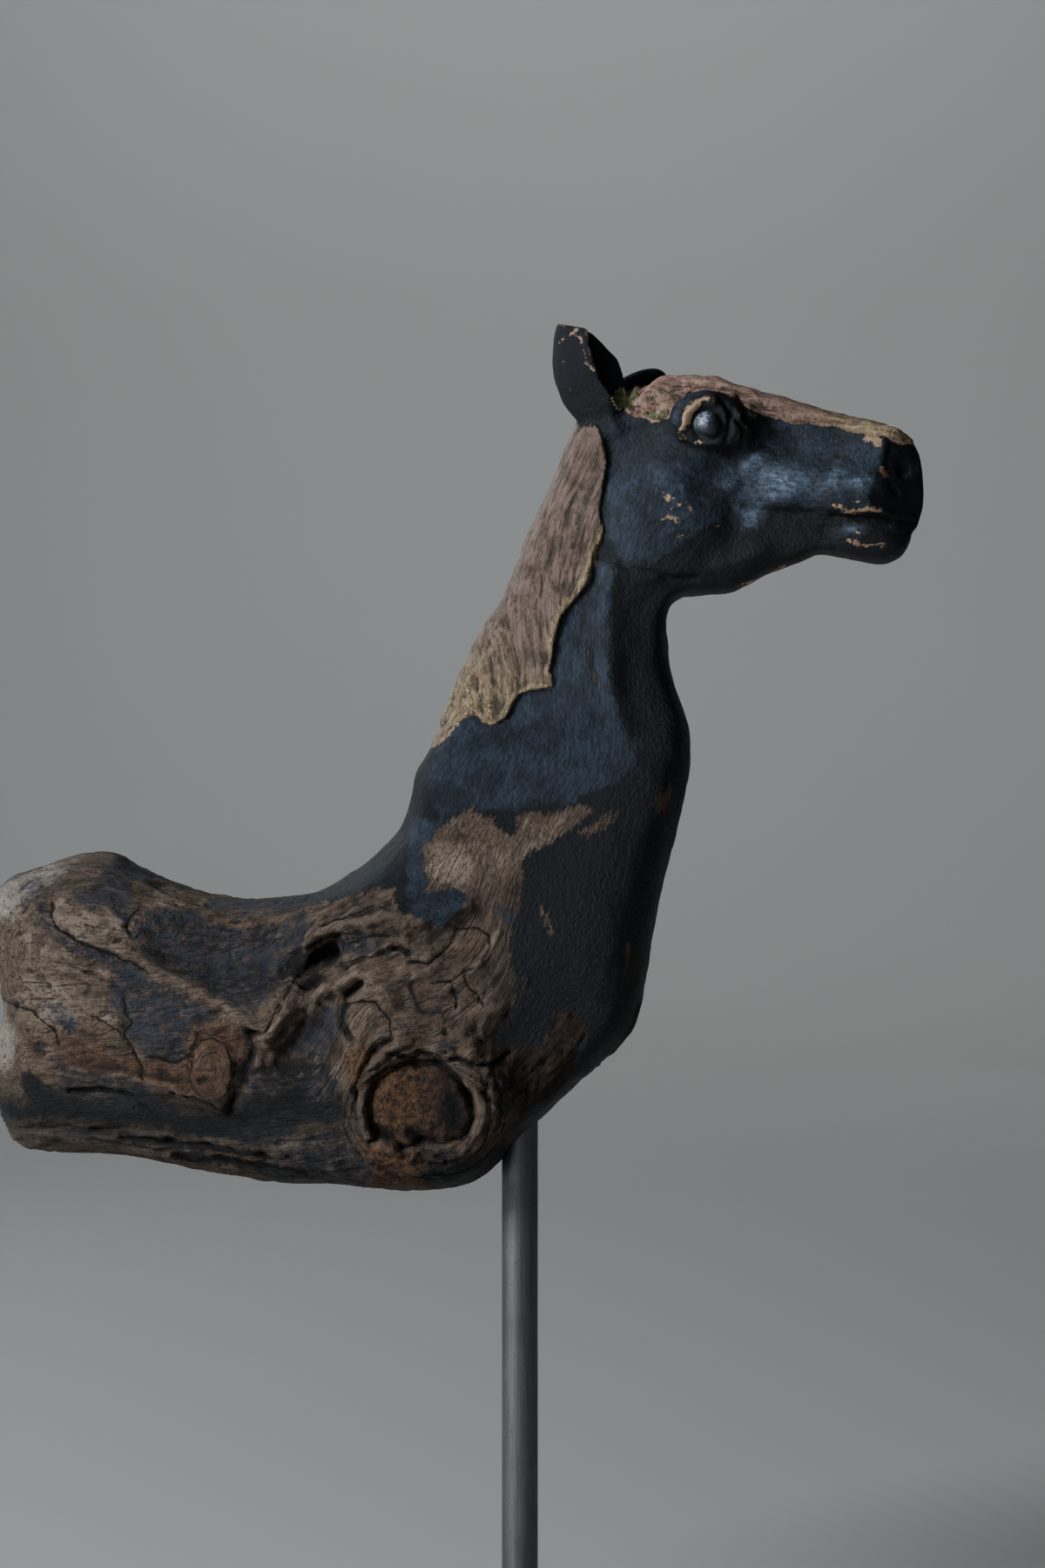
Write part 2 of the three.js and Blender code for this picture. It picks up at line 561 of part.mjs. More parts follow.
// Shrinks the edges that matter least until the surface has few enough triangles.
function simplify({ positions, triangles }, target) {
  const points = [];
  for (let i = 0; i < positions.length; i += 3) points.push(new THREE.Vector3().fromArray(positions, i));
  const faces = [];
  const around = points.map(() => new Set());
  for (let t = 0; t < triangles.length; t += 3) {
    const face = triangles.slice(t, t + 3);
    faces.push(face);
    for (const v of face) around[v].add(face);
  }
  const facing = (face, from, to) => {
    const [a, b, c] = face.map((v) => (from.includes(v) ? to : points[v]));
    return b.clone().sub(a).cross(c.clone().sub(a));
  };
  const quadrics = points.map(() => new Float64Array(10));
  for (const face of faces) {
    const normal = facing(face, [], null);
    const area = normal.length() / 2;
    if (area < 1e-9) continue;
    normal.normalize();
    for (const v of face) addPlane(quadrics[v], normal, -normal.dot(points[face[0]]), area);
  }
  const neighbours = (v) => new Set([...around[v]].flat().filter((n) => n !== v));

  const shrink = (u, v, to) => {
    const shared = neighbours(v);
    if ([...neighbours(u)].filter((n) => shared.has(n)).length !== 2) return false;
    for (const face of [...around[u], ...around[v]]) {
      if (face.includes(u) && face.includes(v)) continue;
      const before = facing(face, [], null);
      const after = facing(face, [u, v], to);
      if (before.dot(after) <= LEAST_TURN * before.length() * after.length()) return false;
    }
    for (const face of [...around[u]]) {
      if (face.includes(v)) {
        for (const n of face) around[n].delete(face);
      } else {
        face[face.indexOf(u)] = v;
        around[v].add(face);
      }
    }
    around[u].clear();
    points[v] = to;
    for (let i = 0; i < 10; i++) quadrics[v][i] += quadrics[u][i];
    return true;
  };

  let left = faces.length;
  while (left > target) {
    const edges = [];
    for (let u = 0; u < points.length; u++) {
      for (const v of neighbours(u)) {
        if (v < u) continue;
        const sum = quadrics[u].map((q, i) => q + quadrics[v][i]);
        const to = meetingPoint(sum, points[u], points[v]);
        const length = points[u].distanceToSquared(points[v]);
        edges.push({ u, v, to, cost: planeCost(sum, to) + LENGTH_COST * length ** 2 });
      }
    }
    edges.sort((m, n) => m.cost - n.cost);
    const touched = new Set();
    const before = left;
    for (const { u, v, to } of edges.slice(0, Math.ceil(edges.length * PASS_SHARE))) {
      if (left <= target || touched.has(u) || touched.has(v)) continue;
      if (!shrink(u, v, to)) continue;
      left -= 2;
      touched.add(v);
      for (const n of neighbours(v)) touched.add(n);
    }
    if (before === left) break;
  }

  const kept = [];
  const order = new Map();
  for (let v = 0; v < points.length; v++) {
    if (!around[v].size) continue;
    order.set(v, kept.length / 3);
    kept.push(...points[v].toArray());
  }
  const left_faces = new Set(around.flatMap((set) => [...set]));
  return { positions: kept, triangles: [...left_faces].flat().map((v) => order.get(v)) };
}

function solidOf(geometry) {
  const bare = geometry.clone();
  bare.deleteAttribute('normal');
  bare.deleteAttribute('uv');
  const merged = mergeVertices(bare, 1e-4);
  return new wasm.Manifold(
    new wasm.Mesh({
      numProp: 3,
      vertProperties: new Float32Array(merged.attributes.position.array),
      triVerts: new Uint32Array(merged.index.array),
    }),
  );
}

function geometryOf(solid) {
  const { vertProperties, triVerts } = solid.getMesh();
  const geometry = new THREE.BufferGeometry();
  geometry.setAttribute('position', new THREE.BufferAttribute(vertProperties, 3));
  geometry.setIndex(new THREE.BufferAttribute(triVerts, 1));
  geometry.computeVertexNormals();
  return geometry;
}

// A turned solid about the rod's axis, from a profile of [radius, height] that closes on the axis.
function turned(profile) {
  return new THREE.LatheGeometry(profile.map(([r, h]) => new THREE.Vector2(r, h)), ROD_SIDES).rotateX(Math.PI / 2);
}

function carvedWood() {
  const { positions, triangles } = simplify(drawSurface(woodField()), WOOD_TRIANGLES);
  const geometry = new THREE.BufferGeometry();
  geometry.setAttribute('position', new THREE.Float32BufferAttribute(positions, 3));
  geometry.setIndex(triangles);
  const socket = turned([
    [0, PLATE_THICKNESS],
    [ROD_RADIUS + FIT_GAP, PLATE_THICKNESS],
    [ROD_RADIUS + FIT_GAP, ROD_TOP + FIT_GAP],
    [0, ROD_TOP + FIT_GAP],
  ]);
  return geometryOf(solidOf(geometry).subtract(solidOf(socket)));
}

function steelRod() {
  return turned([
    [0, PLATE_THICKNESS],
    [ROD_RADIUS, PLATE_THICKNESS],
    [ROD_RADIUS, ROD_TOP - ROD_CHAMFER],
    [ROD_RADIUS - ROD_CHAMFER, ROD_TOP],
    [0, ROD_TOP],
  ]);
}

// A square plate with small round corners and broken edges, and the weld bead round the rod's foot.
function steelPlate() {
  const half = PLATE_WIDTH / 2 - PLATE_CHAMFER;
  const corner = PLATE_CORNER_RADIUS - PLATE_CHAMFER;
  const shape = new THREE.Shape();
  shape.absarc(half - corner, half - corner, corner, 0, Math.PI / 2);
  shape.absarc(corner - half, half - corner, corner, Math.PI / 2, Math.PI);
  shape.absarc(corner - half, corner - half, corner, Math.PI, 1.5 * Math.PI);
  shape.absarc(half - corner, corner - half, corner, 1.5 * Math.PI, 2 * Math.PI);
  const plate = new THREE.ExtrudeGeometry(shape, {
    depth: PLATE_THICKNESS - 2 * PLATE_CHAMFER,
    bevelThickness: PLATE_CHAMFER,
    bevelSize: PLATE_CHAMFER,
    bevelSegments: 1,
    curveSegments: 5,
  });
  plate.translate(0, 0, PLATE_CHAMFER);
  const inner = ROD_RADIUS + FIT_GAP;
  const bead = turned([
    [inner, PLATE_THICKNESS - 1],
    [inner + WELD_WIDTH, PLATE_THICKNESS - 1],
    [inner + WELD_WIDTH, PLATE_THICKNESS + 0.2],
    [inner + 0.6 * WELD_WIDTH, PLATE_THICKNESS + 0.75 * WELD_HEIGHT],
    [inner, PLATE_THICKNESS + WELD_HEIGHT],
    [inner, PLATE_THICKNESS - 1],
  ]);
  return geometryOf(solidOf(plate).add(solidOf(bead)));
}

function namedMesh(name, geometry, color, roughness, metalness) {
  const mesh = new THREE.Mesh(geometry, new THREE.MeshStandardMaterial({ color, roughness, metalness }));
  mesh.name = name;
  return mesh;
}

const sculpture = new THREE.Group();
sculpture.add(
  namedMesh('driftwood_horse', carvedWood(), 0x4a3d33, 0.8, 0),
  namedMesh('support_rod', steelRod(), 0x4b484a, 0.45, 0.9),
  namedMesh('base_plate', steelPlate(), 0x3a3839, 0.5, 0.9),
);

export default sculpture;
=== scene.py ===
"""The looks of a driftwood horse on a steel rod and plate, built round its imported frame.

The wood is drawn afresh as one fine mesh, from the same outline and depths as the solid. The rod
and the plate are the frame's own nodes with finishes of their own.
"""

import math

import bmesh
import bpy
import numpy as np
from bpy.props import FloatProperty, FloatVectorProperty, IntProperty, PointerProperty
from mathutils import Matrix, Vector


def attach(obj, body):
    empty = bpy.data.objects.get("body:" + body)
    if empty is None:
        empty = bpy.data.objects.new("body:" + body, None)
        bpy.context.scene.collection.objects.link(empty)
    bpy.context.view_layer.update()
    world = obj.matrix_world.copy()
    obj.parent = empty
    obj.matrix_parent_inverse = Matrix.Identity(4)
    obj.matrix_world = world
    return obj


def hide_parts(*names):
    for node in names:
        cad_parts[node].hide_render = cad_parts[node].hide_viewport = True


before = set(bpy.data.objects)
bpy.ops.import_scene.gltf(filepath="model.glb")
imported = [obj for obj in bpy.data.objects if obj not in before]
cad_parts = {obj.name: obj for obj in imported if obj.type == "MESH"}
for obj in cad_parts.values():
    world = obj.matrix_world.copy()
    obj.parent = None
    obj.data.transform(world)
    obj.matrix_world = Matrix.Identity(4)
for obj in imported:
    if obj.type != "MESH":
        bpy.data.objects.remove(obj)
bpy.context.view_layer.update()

bl_info = {
    "name": "Driftwood horse",
    "version": (1, 0, 0),
    "blender": (4, 5, 0),
    "location": "3D View > Sidebar > Driftwood horse",
    "description": "A horse carved from a driftwood log, on a steel rod and plate",
    "category": "Object",
}

MM = 0.001
WOOD = "carved_horse"
BODY = "root"

# Outline of the wood from its near side, as x and z in millimetres, from the poll round by the nose
OUTLINE = [
    (20, 433), (27, 437), (34, 440), (40.5, 442), (45, 444.5), (51.5, 446), (59, 446.5), (64.5, 446),
    (70.5, 444), (79, 441.5), (88, 439), (96.5, 436.5), (105.5, 434), (114, 432), (121, 430.5),
    (127, 428), (131, 423.5), (133, 418), (133.8, 410), (133.5, 401), (132, 396.5), (130, 394),
    (129.5, 391), (127, 387), (122.5, 384.5), (117, 384.5), (111, 385.5), (105, 386.7), (99.5, 387.3),
    (94, 385.3), (89.5, 383.5), (82, 380.5), (76, 377.3), (70.5, 375), (62, 373.8), (54.5, 373.3),
    (51, 371.5), (49, 367.5), (48.8, 360.5), (50, 350), (53, 340), (55.7, 332), (56.7, 325),
    (56.3, 315.5), (53.5, 301), (49, 283.5), (44.5, 262), (41.5, 243), (40, 236.5), (37.5, 229.5),
    (33.5, 224), (27.5, 218.3), (17, 209.5), (6, 199), (1, 195), (-3.5, 190), (-6.5, 185.5),
    (-10.5, 182), (-16.5, 178.3), (-25, 176.7), (-37, 176), (-48.5, 176.8), (-60, 178), (-77.5, 178.3),
    (-95, 180.5), (-112, 183.5), (-129.5, 186.7), (-143, 187.6), (-155.5, 187.8), (-164.5, 189),
    (-169.5, 192), (-172.5, 197.5), (-174.5, 203.5), (-175.5, 215.5), (-175, 227), (-172.3, 235.5),
    (-174, 244.5), (-176, 256), (-176.5, 267), (-175, 275.5), (-171, 279.7), (-164.5, 282.5),
    (-155.5, 285.2), (-147, 287.8), (-138.5, 288.3), (-134, 287.4), (-129.5, 284.7), (-121, 280.3),
    (-112, 277), (-103.5, 274.3), (-94, 273.2), (-86, 273), (-74.5, 273.8), (-67.5, 275),
    (-59.5, 279), (-51.5, 284.3), (-42.5, 292.5), (-39.5, 296.5), (-36.5, 305), (-34.5, 314),
    (-30, 322.5), (-26, 331.3), (-22.5, 340), (-15.5, 357.3), (-10, 366), (-5, 375), (2, 392.2),
    (10, 409.6), (14, 418.3), (17.5, 427),
]

# Half depth of the wood, how wide its edge is rounded over and how far its middle leans to +Y:
# x, z, depth, round, lean and the reach of each place
DEPTHS = {
    "poll": (30, 426, 12.5, 11, 0, 9),
    "forehead": (58, 438, 15.5, 9, 0, 10),
    "cheek": (48, 402, 17.5, 16, 0, 12),
    "jaw": (60, 383, 12, 12, 0, 10),
    "face": (85, 416, 14, 12, -1, 11),
    "nose_bridge": (98, 430, 9.5, 8, -1, 9),
    "bars": (88, 392, 10, 11, -1, 9),
    "muzzle": (116, 412, 12.8, 9, -2, 9),
    "lips": (116, 391, 9.8, 7, -2, 8),
    "throat": (34, 376, 14.5, 17, 0, 12),
    "nape": (14, 396, 12, 14, 0, 12),
    "neck": (24, 350, 19, 22, 0, 15),
    "crest": (-10, 350, 13, 15, 0, 13),
    "neck_foot": (20, 318, 26, 28, 0, 17),
    "withers": (-22, 314, 23, 24, 0, 15),
    "breast": (28, 275, 33, 34, 0, 20),
    "shoulder": (-18, 268, 38, 36, 0, 20),
    "brisket": (16, 222, 26, 26, 0, 15),
    "elbow": (-30, 206, 39, 30, 0, 18),
    "barrel": (-78, 220, 42, 36, 2, 22),
    "saddle": (-86, 256, 35, 34, 3, 16),
    "rump": (-132, 262, 38, 30, 8, 20),
    "flank": (-132, 212, 40, 32, 8, 20),
    "broken_end": (-168, 236, 36, 20, 13, 18),
}

NEAR = -1
FAR = 1
BOTH = 0

# Swellings and hollows on the sides: side, x, z, half length, half height, tilt in degrees, rise
DOMES = {
    "brow": (BOTH, 64, 430.5, 19, 12.5, -12, 6.6),
    "temple": (BOTH, 42, 436, 12, 8, 20, 1.8),
    "temple_hollow": (BOTH, 37, 412, 9, 8.5, 30, -0.9),
    "jowl": (BOTH, 46, 400, 26, 24, 0, 2.2),
    "face_hollow": (BOTH, 84, 424, 14, 8, -14, -1.6),
    "cheek_hollow": (BOTH, 69.5, 408, 16, 17, -8, -2.3),
    "upper_lip": (BOTH, 112, 407, 20, 12, 0, 2.4),
    "lower_lip": (BOTH, 113, 391.5, 13, 6.5, 0, 2.2),
    "knot_core": (NEAR, -31, 207, 15, 13, 0, -0.8),
    "small_knot": (NEAR, -100, 220.5, 9.5, 11, 10, 2.2),
    "rotten_hollow": (NEAR, -67, 253, 15, 8, 33, -6),
    "saddle": (NEAR, -93, 257, 38, 17, -6, -5.4),
    "bark_step": (NEAR, -46, 234, 17, 21, 12, 2.4),
    "dark_panel": (NEAR, -68, 224, 17, 16, 20, -3.2),
    "rump": (NEAR, -150, 262, 26, 17, 35, 3),
    "neck_front": (BOTH, 45, 350, 15, 36, -4, -1.6),
    "far_knot": (FAR, -58, 228, 20, 18, 15, 4.5),
    "far_hollow": (FAR, -112, 238, 32, 15, -12, -5),
    "far_flank": (FAR, -146, 216, 24, 17, 20, 3),
}

# Broad ridges and furrows: side, half width, rise and line
RIDGES = {
    "mouth": (BOTH, 1.2, -1.3, [(104, 399.5), (110, 399.2), (120, 398), (133, 397)]),
    "cheekbone": (BOTH, 4.4, 1.8, [(68, 408), (82, 405.5), (98, 404.5), (116, 404)]),
    "jaw_edge": (BOTH, 4, 1.6, [(31, 382), (46, 380), (62, 381), (80, 387)]),
    "jaw_back": (BOTH, 4, -0.5, [(30, 420), (29, 400), (31, 384)]),
    "neck_edge": (BOTH, 4, 1.3, [(30, 379), (28.5, 362), (29, 348), (33, 328)]),
    "shoulder": (BOTH, 11, 2, [(30, 318), (24, 290), (16, 262)]),
    "collar": (NEAR, 3.6, 3.6, [
        (-82, 229), (-76, 239), (-72, 250), (-66, 260), (-54, 268), (-36, 267), (-18, 272)]),
    "branch": (NEAR, 5, 2.4, [(-80, 236), (-66, 245), (-50, 252), (-30, 253)]),
    "saddle_edge": (NEAR, 3.4, 2.2, [
        (-151, 268), (-143, 260), (-126, 254), (-112, 248), (-98, 241), (-84, 231)]),
    "rump_groove": (NEAR, 3, -1.5, [(-154, 273), (-150, 265), (-140, 258), (-124, 252)]),
    "flank_step": (NEAR, 3, 2.2, [(-170, 220), (-148, 217), (-128, 213), (-108, 211), (-94, 206)]),
    "gully": (NEAR, 6, -4, [(-172, 203), (-148, 206), (-120, 203), (-90, 200), (-60, 203)]),
    "belly_lip": (NEAR, 3, 2, [(-165, 195), (-130, 193), (-100, 188), (-62, 185)]),
    "far_ridge": (FAR, 5, 4, [(-160, 256), (-124, 258), (-88, 246), (-50, 250), (-14, 240)]),
    "far_gully": (FAR, 5, -3.8, [(-164, 208), (-124, 205), (-84, 200), (-48, 204)]),
}

# The big knot's collar: x, z, radius, half width and rise
KNOT_RING = (-31, 207, 21.5, 6.5, 2.6)

# The mane's stepped edge, and how high and how wide its step is
MANE_EDGE = [
    (17, 431), (21, 431), (25, 429.3), (27, 425), (28.5, 420), (28.8, 416), (28, 411), (27, 406),
    (26.2, 403), (26.3, 399), (27.2, 395), (26.5, 391), (24.6, 388), (24, 383), (22.8, 378),
    (20.5, 374.5), (16.5, 370), (13.2, 364.5), (11.2, 358), (10.8, 352), (10, 348.5), (11, 343),
    (8, 341.8), (3, 341.6), (0, 340.4), (-2, 338), (-3, 335), (-5, 332.3), (-9, 330.6),
    (-12, 331.4), (-14.5, 333.8), (-18, 333), (-21, 331), (-23.5, 328), (-26, 325), (-29, 323),
    (-40, 322), (-40, 345), (0, 425),
]
MANE_RISE = 1.9
MANE_STEP = 0.8

# The eye: its middle, its radius, how round and how proud it is, and the depth of its socket
EYE = (61.3, 428.6)
EYE_RADIUS = 4.9
EYE_BULGE = 1.25
EYE_RISE = 2.6
SOCKET_DEPTH = 1.2

# The nose end's cut as x, half depth, slope and rounding, and the nostril as x, z, how far it is
# from the middle, half length and half width, with the muzzle's lowest place and its lean
NOSE_END = (119.5, 12.6, 0.66, 0.5)
NOSTRIL = (127.5, 415, 8.6, 3.4, 3)
MUZZLE_FOOT = 376
MUZZLE_LEAN = 2

# The ears: base, tip, the way the hollow faces, half width, and the slanting cuts across the top,
# each through x and z and falling this much towards the nose
EARS = [
    ((27, -8.5, 432), (17, -11.5, 467), (0.8, -0.6, 0.1), 9.8, [(14, 462.8, 0.28), (24, 459.6, 0.95)]),
    ((30, 9, 433), (49, 17, 449), (0.35, 0.3, -0.9), 7, []),
]
EAR_DEPTH_RATIO = 1.28
EAR_HOLLOW_WIDTH = 0.74
EAR_HOLLOW_DEPTH = 0.86
EAR_HOLLOW_OFFSET = 1.05
EAR_BLEND = 2.4
EAR_SPANS = ((4, 66), (418, np.inf))

# Radius and top of the rod's hole, and the part of the wood round it in x and z
ROD_HOLE = (6.3, 226.3)
ROD_HOLE_SPANS = ((-9, 9), (0, 230))

# The net that the wood is drawn in: its reach, where the finer part over the head starts in x and
# z, how much closer its lines are there and across, and how its rows narrow from log to head
NET_LOW = (-182, -42, 170)
NET_HIGH = (141, 42, 468)
HEAD_START = (-2, 372)
HEAD_FINER = 0.68
ROWS_FINER = 0.92
LOG_WIDER = 1.28
HEAD_WIDER = 0.72
NARROWING = (296, 384)

# The squares of the plans for the depths and the grain, and the grain's reach
FORM_STEP = 0.8
GRAIN_STEP = 2
GRAIN_REACH = ((-230, 120), (190, 520))

# Cracks and crevices of the near side, and the fibres that stand proud: half width, rise and line
FURROWS = {
    "undercut": (0.7, -1.5, [(-124.5, 270.5), (-127.5, 267), (-128.3, 264), (-126.5, 261)]),
    "main_crack": (0.55, -1.5, [
        (-129, 241), (-128, 236), (-126, 233.5), (-129, 230), (-126, 225), (-124, 222),
        (-123.3, 219), (-122.3, 215)]),
    "crack_branch": (0.4, -1, [(-129, 230), (-133, 232), (-139, 235)]),
    "knot_crevice": (1.7, -2.6, [(-88, 230), (-86, 226), (-88, 221), (-90, 214), (-93, 208), (-95, 203)]),
    "collar_foot": (1.5, -2.6, [(-78, 240), (-80, 234), (-82, 231), (-88, 230.5)]),
    "knot_rim": (0.6, -0.9, [
        (-106.5, 219), (-106, 224), (-103, 227.5), (-99.5, 228.5), (-95, 226.5), (-93, 222),
        (-92.5, 217), (-94, 212)]),
    "knot_hole": (1.1, -1.4, [(-104, 215), (-102, 215.5)]),
    "hollow_upper": (2.2, -4, [(-72, 250.5), (-67, 253.5), (-62, 256)]),
    "hollow_lower": (1.3, -2.8, [(-70, 245.5), (-64.5, 248)]),
    "collar_slit_a": (0.9, -1.8, [(-76, 242), (-73, 247), (-70, 252)]),
    "collar_slit_b": (0.7, -1.3, [(-69, 258), (-62, 261), (-52, 263)]),
    "collar_slit_c": (0.8, -1.4, [(-64, 265), (-56, 268), (-48, 271.5)]),
    "collar_slit_d": (0.6, -1, [(-56, 259), (-49, 261.5), (-43, 262)]),
    "shelf_crack_a": (0.9, -1.9, [(-58, 252.5), (-52, 254.5), (-46, 256), (-42, 258), (-36, 257)]),
    "shelf_crack_b": (0.8, -1.6, [(-35, 254), (-30, 253), (-26, 255), (-23, 258), (-20, 264)]),
    "shelf_crack_c": (0.5, -0.8, [(-20, 264), (-14, 264.5), (-10, 262), (-10, 258), (-12, 254)]),
    "crackle_a": (0.6, -1.3, [(-28, 247), (-22, 247), (-20, 249), (-16, 251)]),
    "crackle_b": (0.6, -1.1, [(-22, 247), (-21, 243), (-21, 238)]),
    "crackle_c": (0.6, -1.2, [(-18, 249), (-17, 245), (-14, 243), (-12.5, 240)]),
    "panel_left": (1.7, -3, [(-52, 247), (-56, 243), (-57, 238), (-57.5, 233), (-56, 229)]),
    "panel_top": (0.8, -1.5, [(-56, 240), (-50, 241), (-46, 241)]),
    "panel_right": (0.6, -1, [(-46, 241), (-42.5, 236), (-41.5, 230.5)]),
    "panel_foot": (1.4, -2.5, [(-42, 229), (-46, 227), (-48.5, 224), (-51, 219), (-53, 213), (-54, 205)]),
    "over_knot": (0.9, -1.6, [
        (-42, 224), (-38, 223), (-34, 222), (-32, 224), (-28, 223), (-24, 221), (-19, 222),
        (-15, 220.5), (-10, 220.5), (-5, 221.5), (-3, 224)]),
    "ring": (1.5, -3.4, [
        (-46, 198), (-48, 204), (-48, 210), (-46, 215), (-42, 218), (-36, 220.3), (-28, 220),
        (-23, 218), (-19, 214), (-16, 209), (-15.3, 203), (-17.5, 198)]),
    "ring_foot": (1, -2.4, [
        (-48, 195), (-44, 197), (-41, 196), (-38, 193.5), (-34, 194), (-30, 196), (-24, 195), (-19, 196)]),
    "core_hollow_a": (2.4, -1.4, [(-23, 208), (-21, 202)]),
    "core_hollow_b": (1.6, -1.8, [(-35, 198.5), (-32, 196.5)]),
    "core_hollow_c": (1.4, -1.6, [(-45, 200), (-42, 198)]),
    "right_fibre_a": (0.7, -1.1, [(-13, 217), (-9.5, 208), (-10, 198), (-14, 191)]),
    "right_fibre_b": (0.7, -1.1, [(-8, 217), (-5.5, 208), (-7, 199)]),
    "rump_groove": (0.8, -1.4, [
        (-153, 272), (-153.5, 268), (-150, 263), (-143, 259.5), (-136, 256), (-129, 254), (-121, 250)]),
    "band_crease": (1, -1.7, [(-147, 210), (-138, 211), (-130, 210), (-125, 207.5), (-121, 204.5)]),
    "belly_line_a": (1, -1.9, [(-130, 195), (-118, 194.5), (-103, 193), (-90, 190), (-75, 189)]),
    "belly_line_b": (1.2, -2.2, [(-165, 198), (-150, 199), (-139, 197.5), (-128, 199)]),
    "belly_line_c": (1.3, -2.2, [(-112, 189), (-104, 186.8), (-98, 188.5), (-88, 186.5), (-70, 184)]),
    "end_crease": (0.8, -1.3, [(-172, 240), (-160, 237), (-152, 231), (-151, 226)]),
    "slate_crease": (0.9, -1.4, [(-120, 222), (-112, 221), (-107, 223), (-105, 229)]),
    "plate_edge": (0.8, -1.3, [(-113, 210), (-106, 209.5), (-99, 206), (-95, 203)]),
    "saddle_lip": (1.5, 0.9, [
        (-121, 252), (-113, 248.5), (-107, 246), (-103, 244), (-99, 241.5), (-94, 238), (-89, 234)]),
    "collar_fibre_a": (1.3, 1.4, [(-79, 236), (-74, 245), (-70, 258), (-64, 268), (-56, 273)]),
    "collar_fibre_b": (1.4, 1.4, [(-72, 256), (-66, 262.5), (-58, 265.5), (-48, 267), (-40, 268.5)]),
    "branch_lip": (1.7, 1, [(-80, 230), (-70, 240), (-62, 245), (-50, 250)]),
    "flank_lip": (1.3, 0.7, [(-150, 229), (-144, 229), (-136, 224), (-129, 221)]),
    "band_lip": (1.2, 1.4, [
        (-146, 219), (-140, 217.5), (-130, 216.5), (-116, 214), (-106, 210), (-97, 206.5)]),
    "belly_fibre_a": (1.3, 1.3, [(-168, 190), (-140, 190), (-118, 190), (-106, 187)]),
    "belly_fibre_b": (1.2, 1.2, [(-126, 197), (-112, 196), (-98, 195), (-86, 193)]),
    "rump_arc": (1.6, 0.6, [(-160, 272), (-158, 263), (-150, 257), (-138, 252), (-130, 248)]),
}

# Furrows and folds of the head, on both sides
FACE_FURROWS = {
    "upper_lid": (1.3, 1.7, [
        (53.2, 425.4), (53.2, 428.4), (54.4, 432), (57, 435.2), (60.4, 437), (64, 436.6)]),
    "lower_lid": (0.8, 0.5, [(54, 424.4), (58, 422.8), (62.6, 422.2), (66, 423.4)]),
    "brow_fold": (1.2, -0.8, [(51, 436), (56, 440.8), (64, 442), (72, 440.6), (78, 436.5)]),
    "corner_fold_a": (1, -1.5, [(65.6, 437), (68.6, 434), (69, 429), (67.6, 424.6)]),
    "corner_fold_b": (0.8, -0.9, [(72, 438.6), (74.6, 434), (74, 430), (77.4, 427)]),
    "corner_fold_c": (0.8, -0.9, [(70.6, 430), (73.4, 427), (72.6, 422)]),
    "tear_groove": (1.6, -0.4, [(67, 421), (71, 417.4), (73, 411)]),
    "face_cut": (0.5, -0.4, [(81, 422.6), (84.4, 420)]),
    "face_crease": (0.6, -0.3, [(97, 420.4), (103, 420), (109, 418)]),
    "lip_crease": (0.6, -0.3, [(103, 414.6), (106, 412.6), (108, 409.6)]),
    "mouth_line": (0.6, -0.8, [(102.5, 399.8), (110, 398.9), (120, 397.8), (133, 397)]),
    "upper_lip_edge": (0.9, 0.6, [(102, 401.6), (106, 401), (113, 401), (119, 400.3), (130, 399.6)]),
    "chin_crease": (1.4, -0.7, [(100, 395), (103, 391.6), (104.6, 387.6)]),
    "nostril_fold": (0.9, -0.9, [(122, 421), (121, 416), (121.6, 410.6), (124, 407)]),
    "jaw_crease": (1.4, -0.6, [(74, 402.6), (84, 400.4), (96, 399.8)]),
    "throat_crease": (1.1, -0.9, [(33, 383), (40, 381), (50, 378.6), (58, 378.6)]),
}

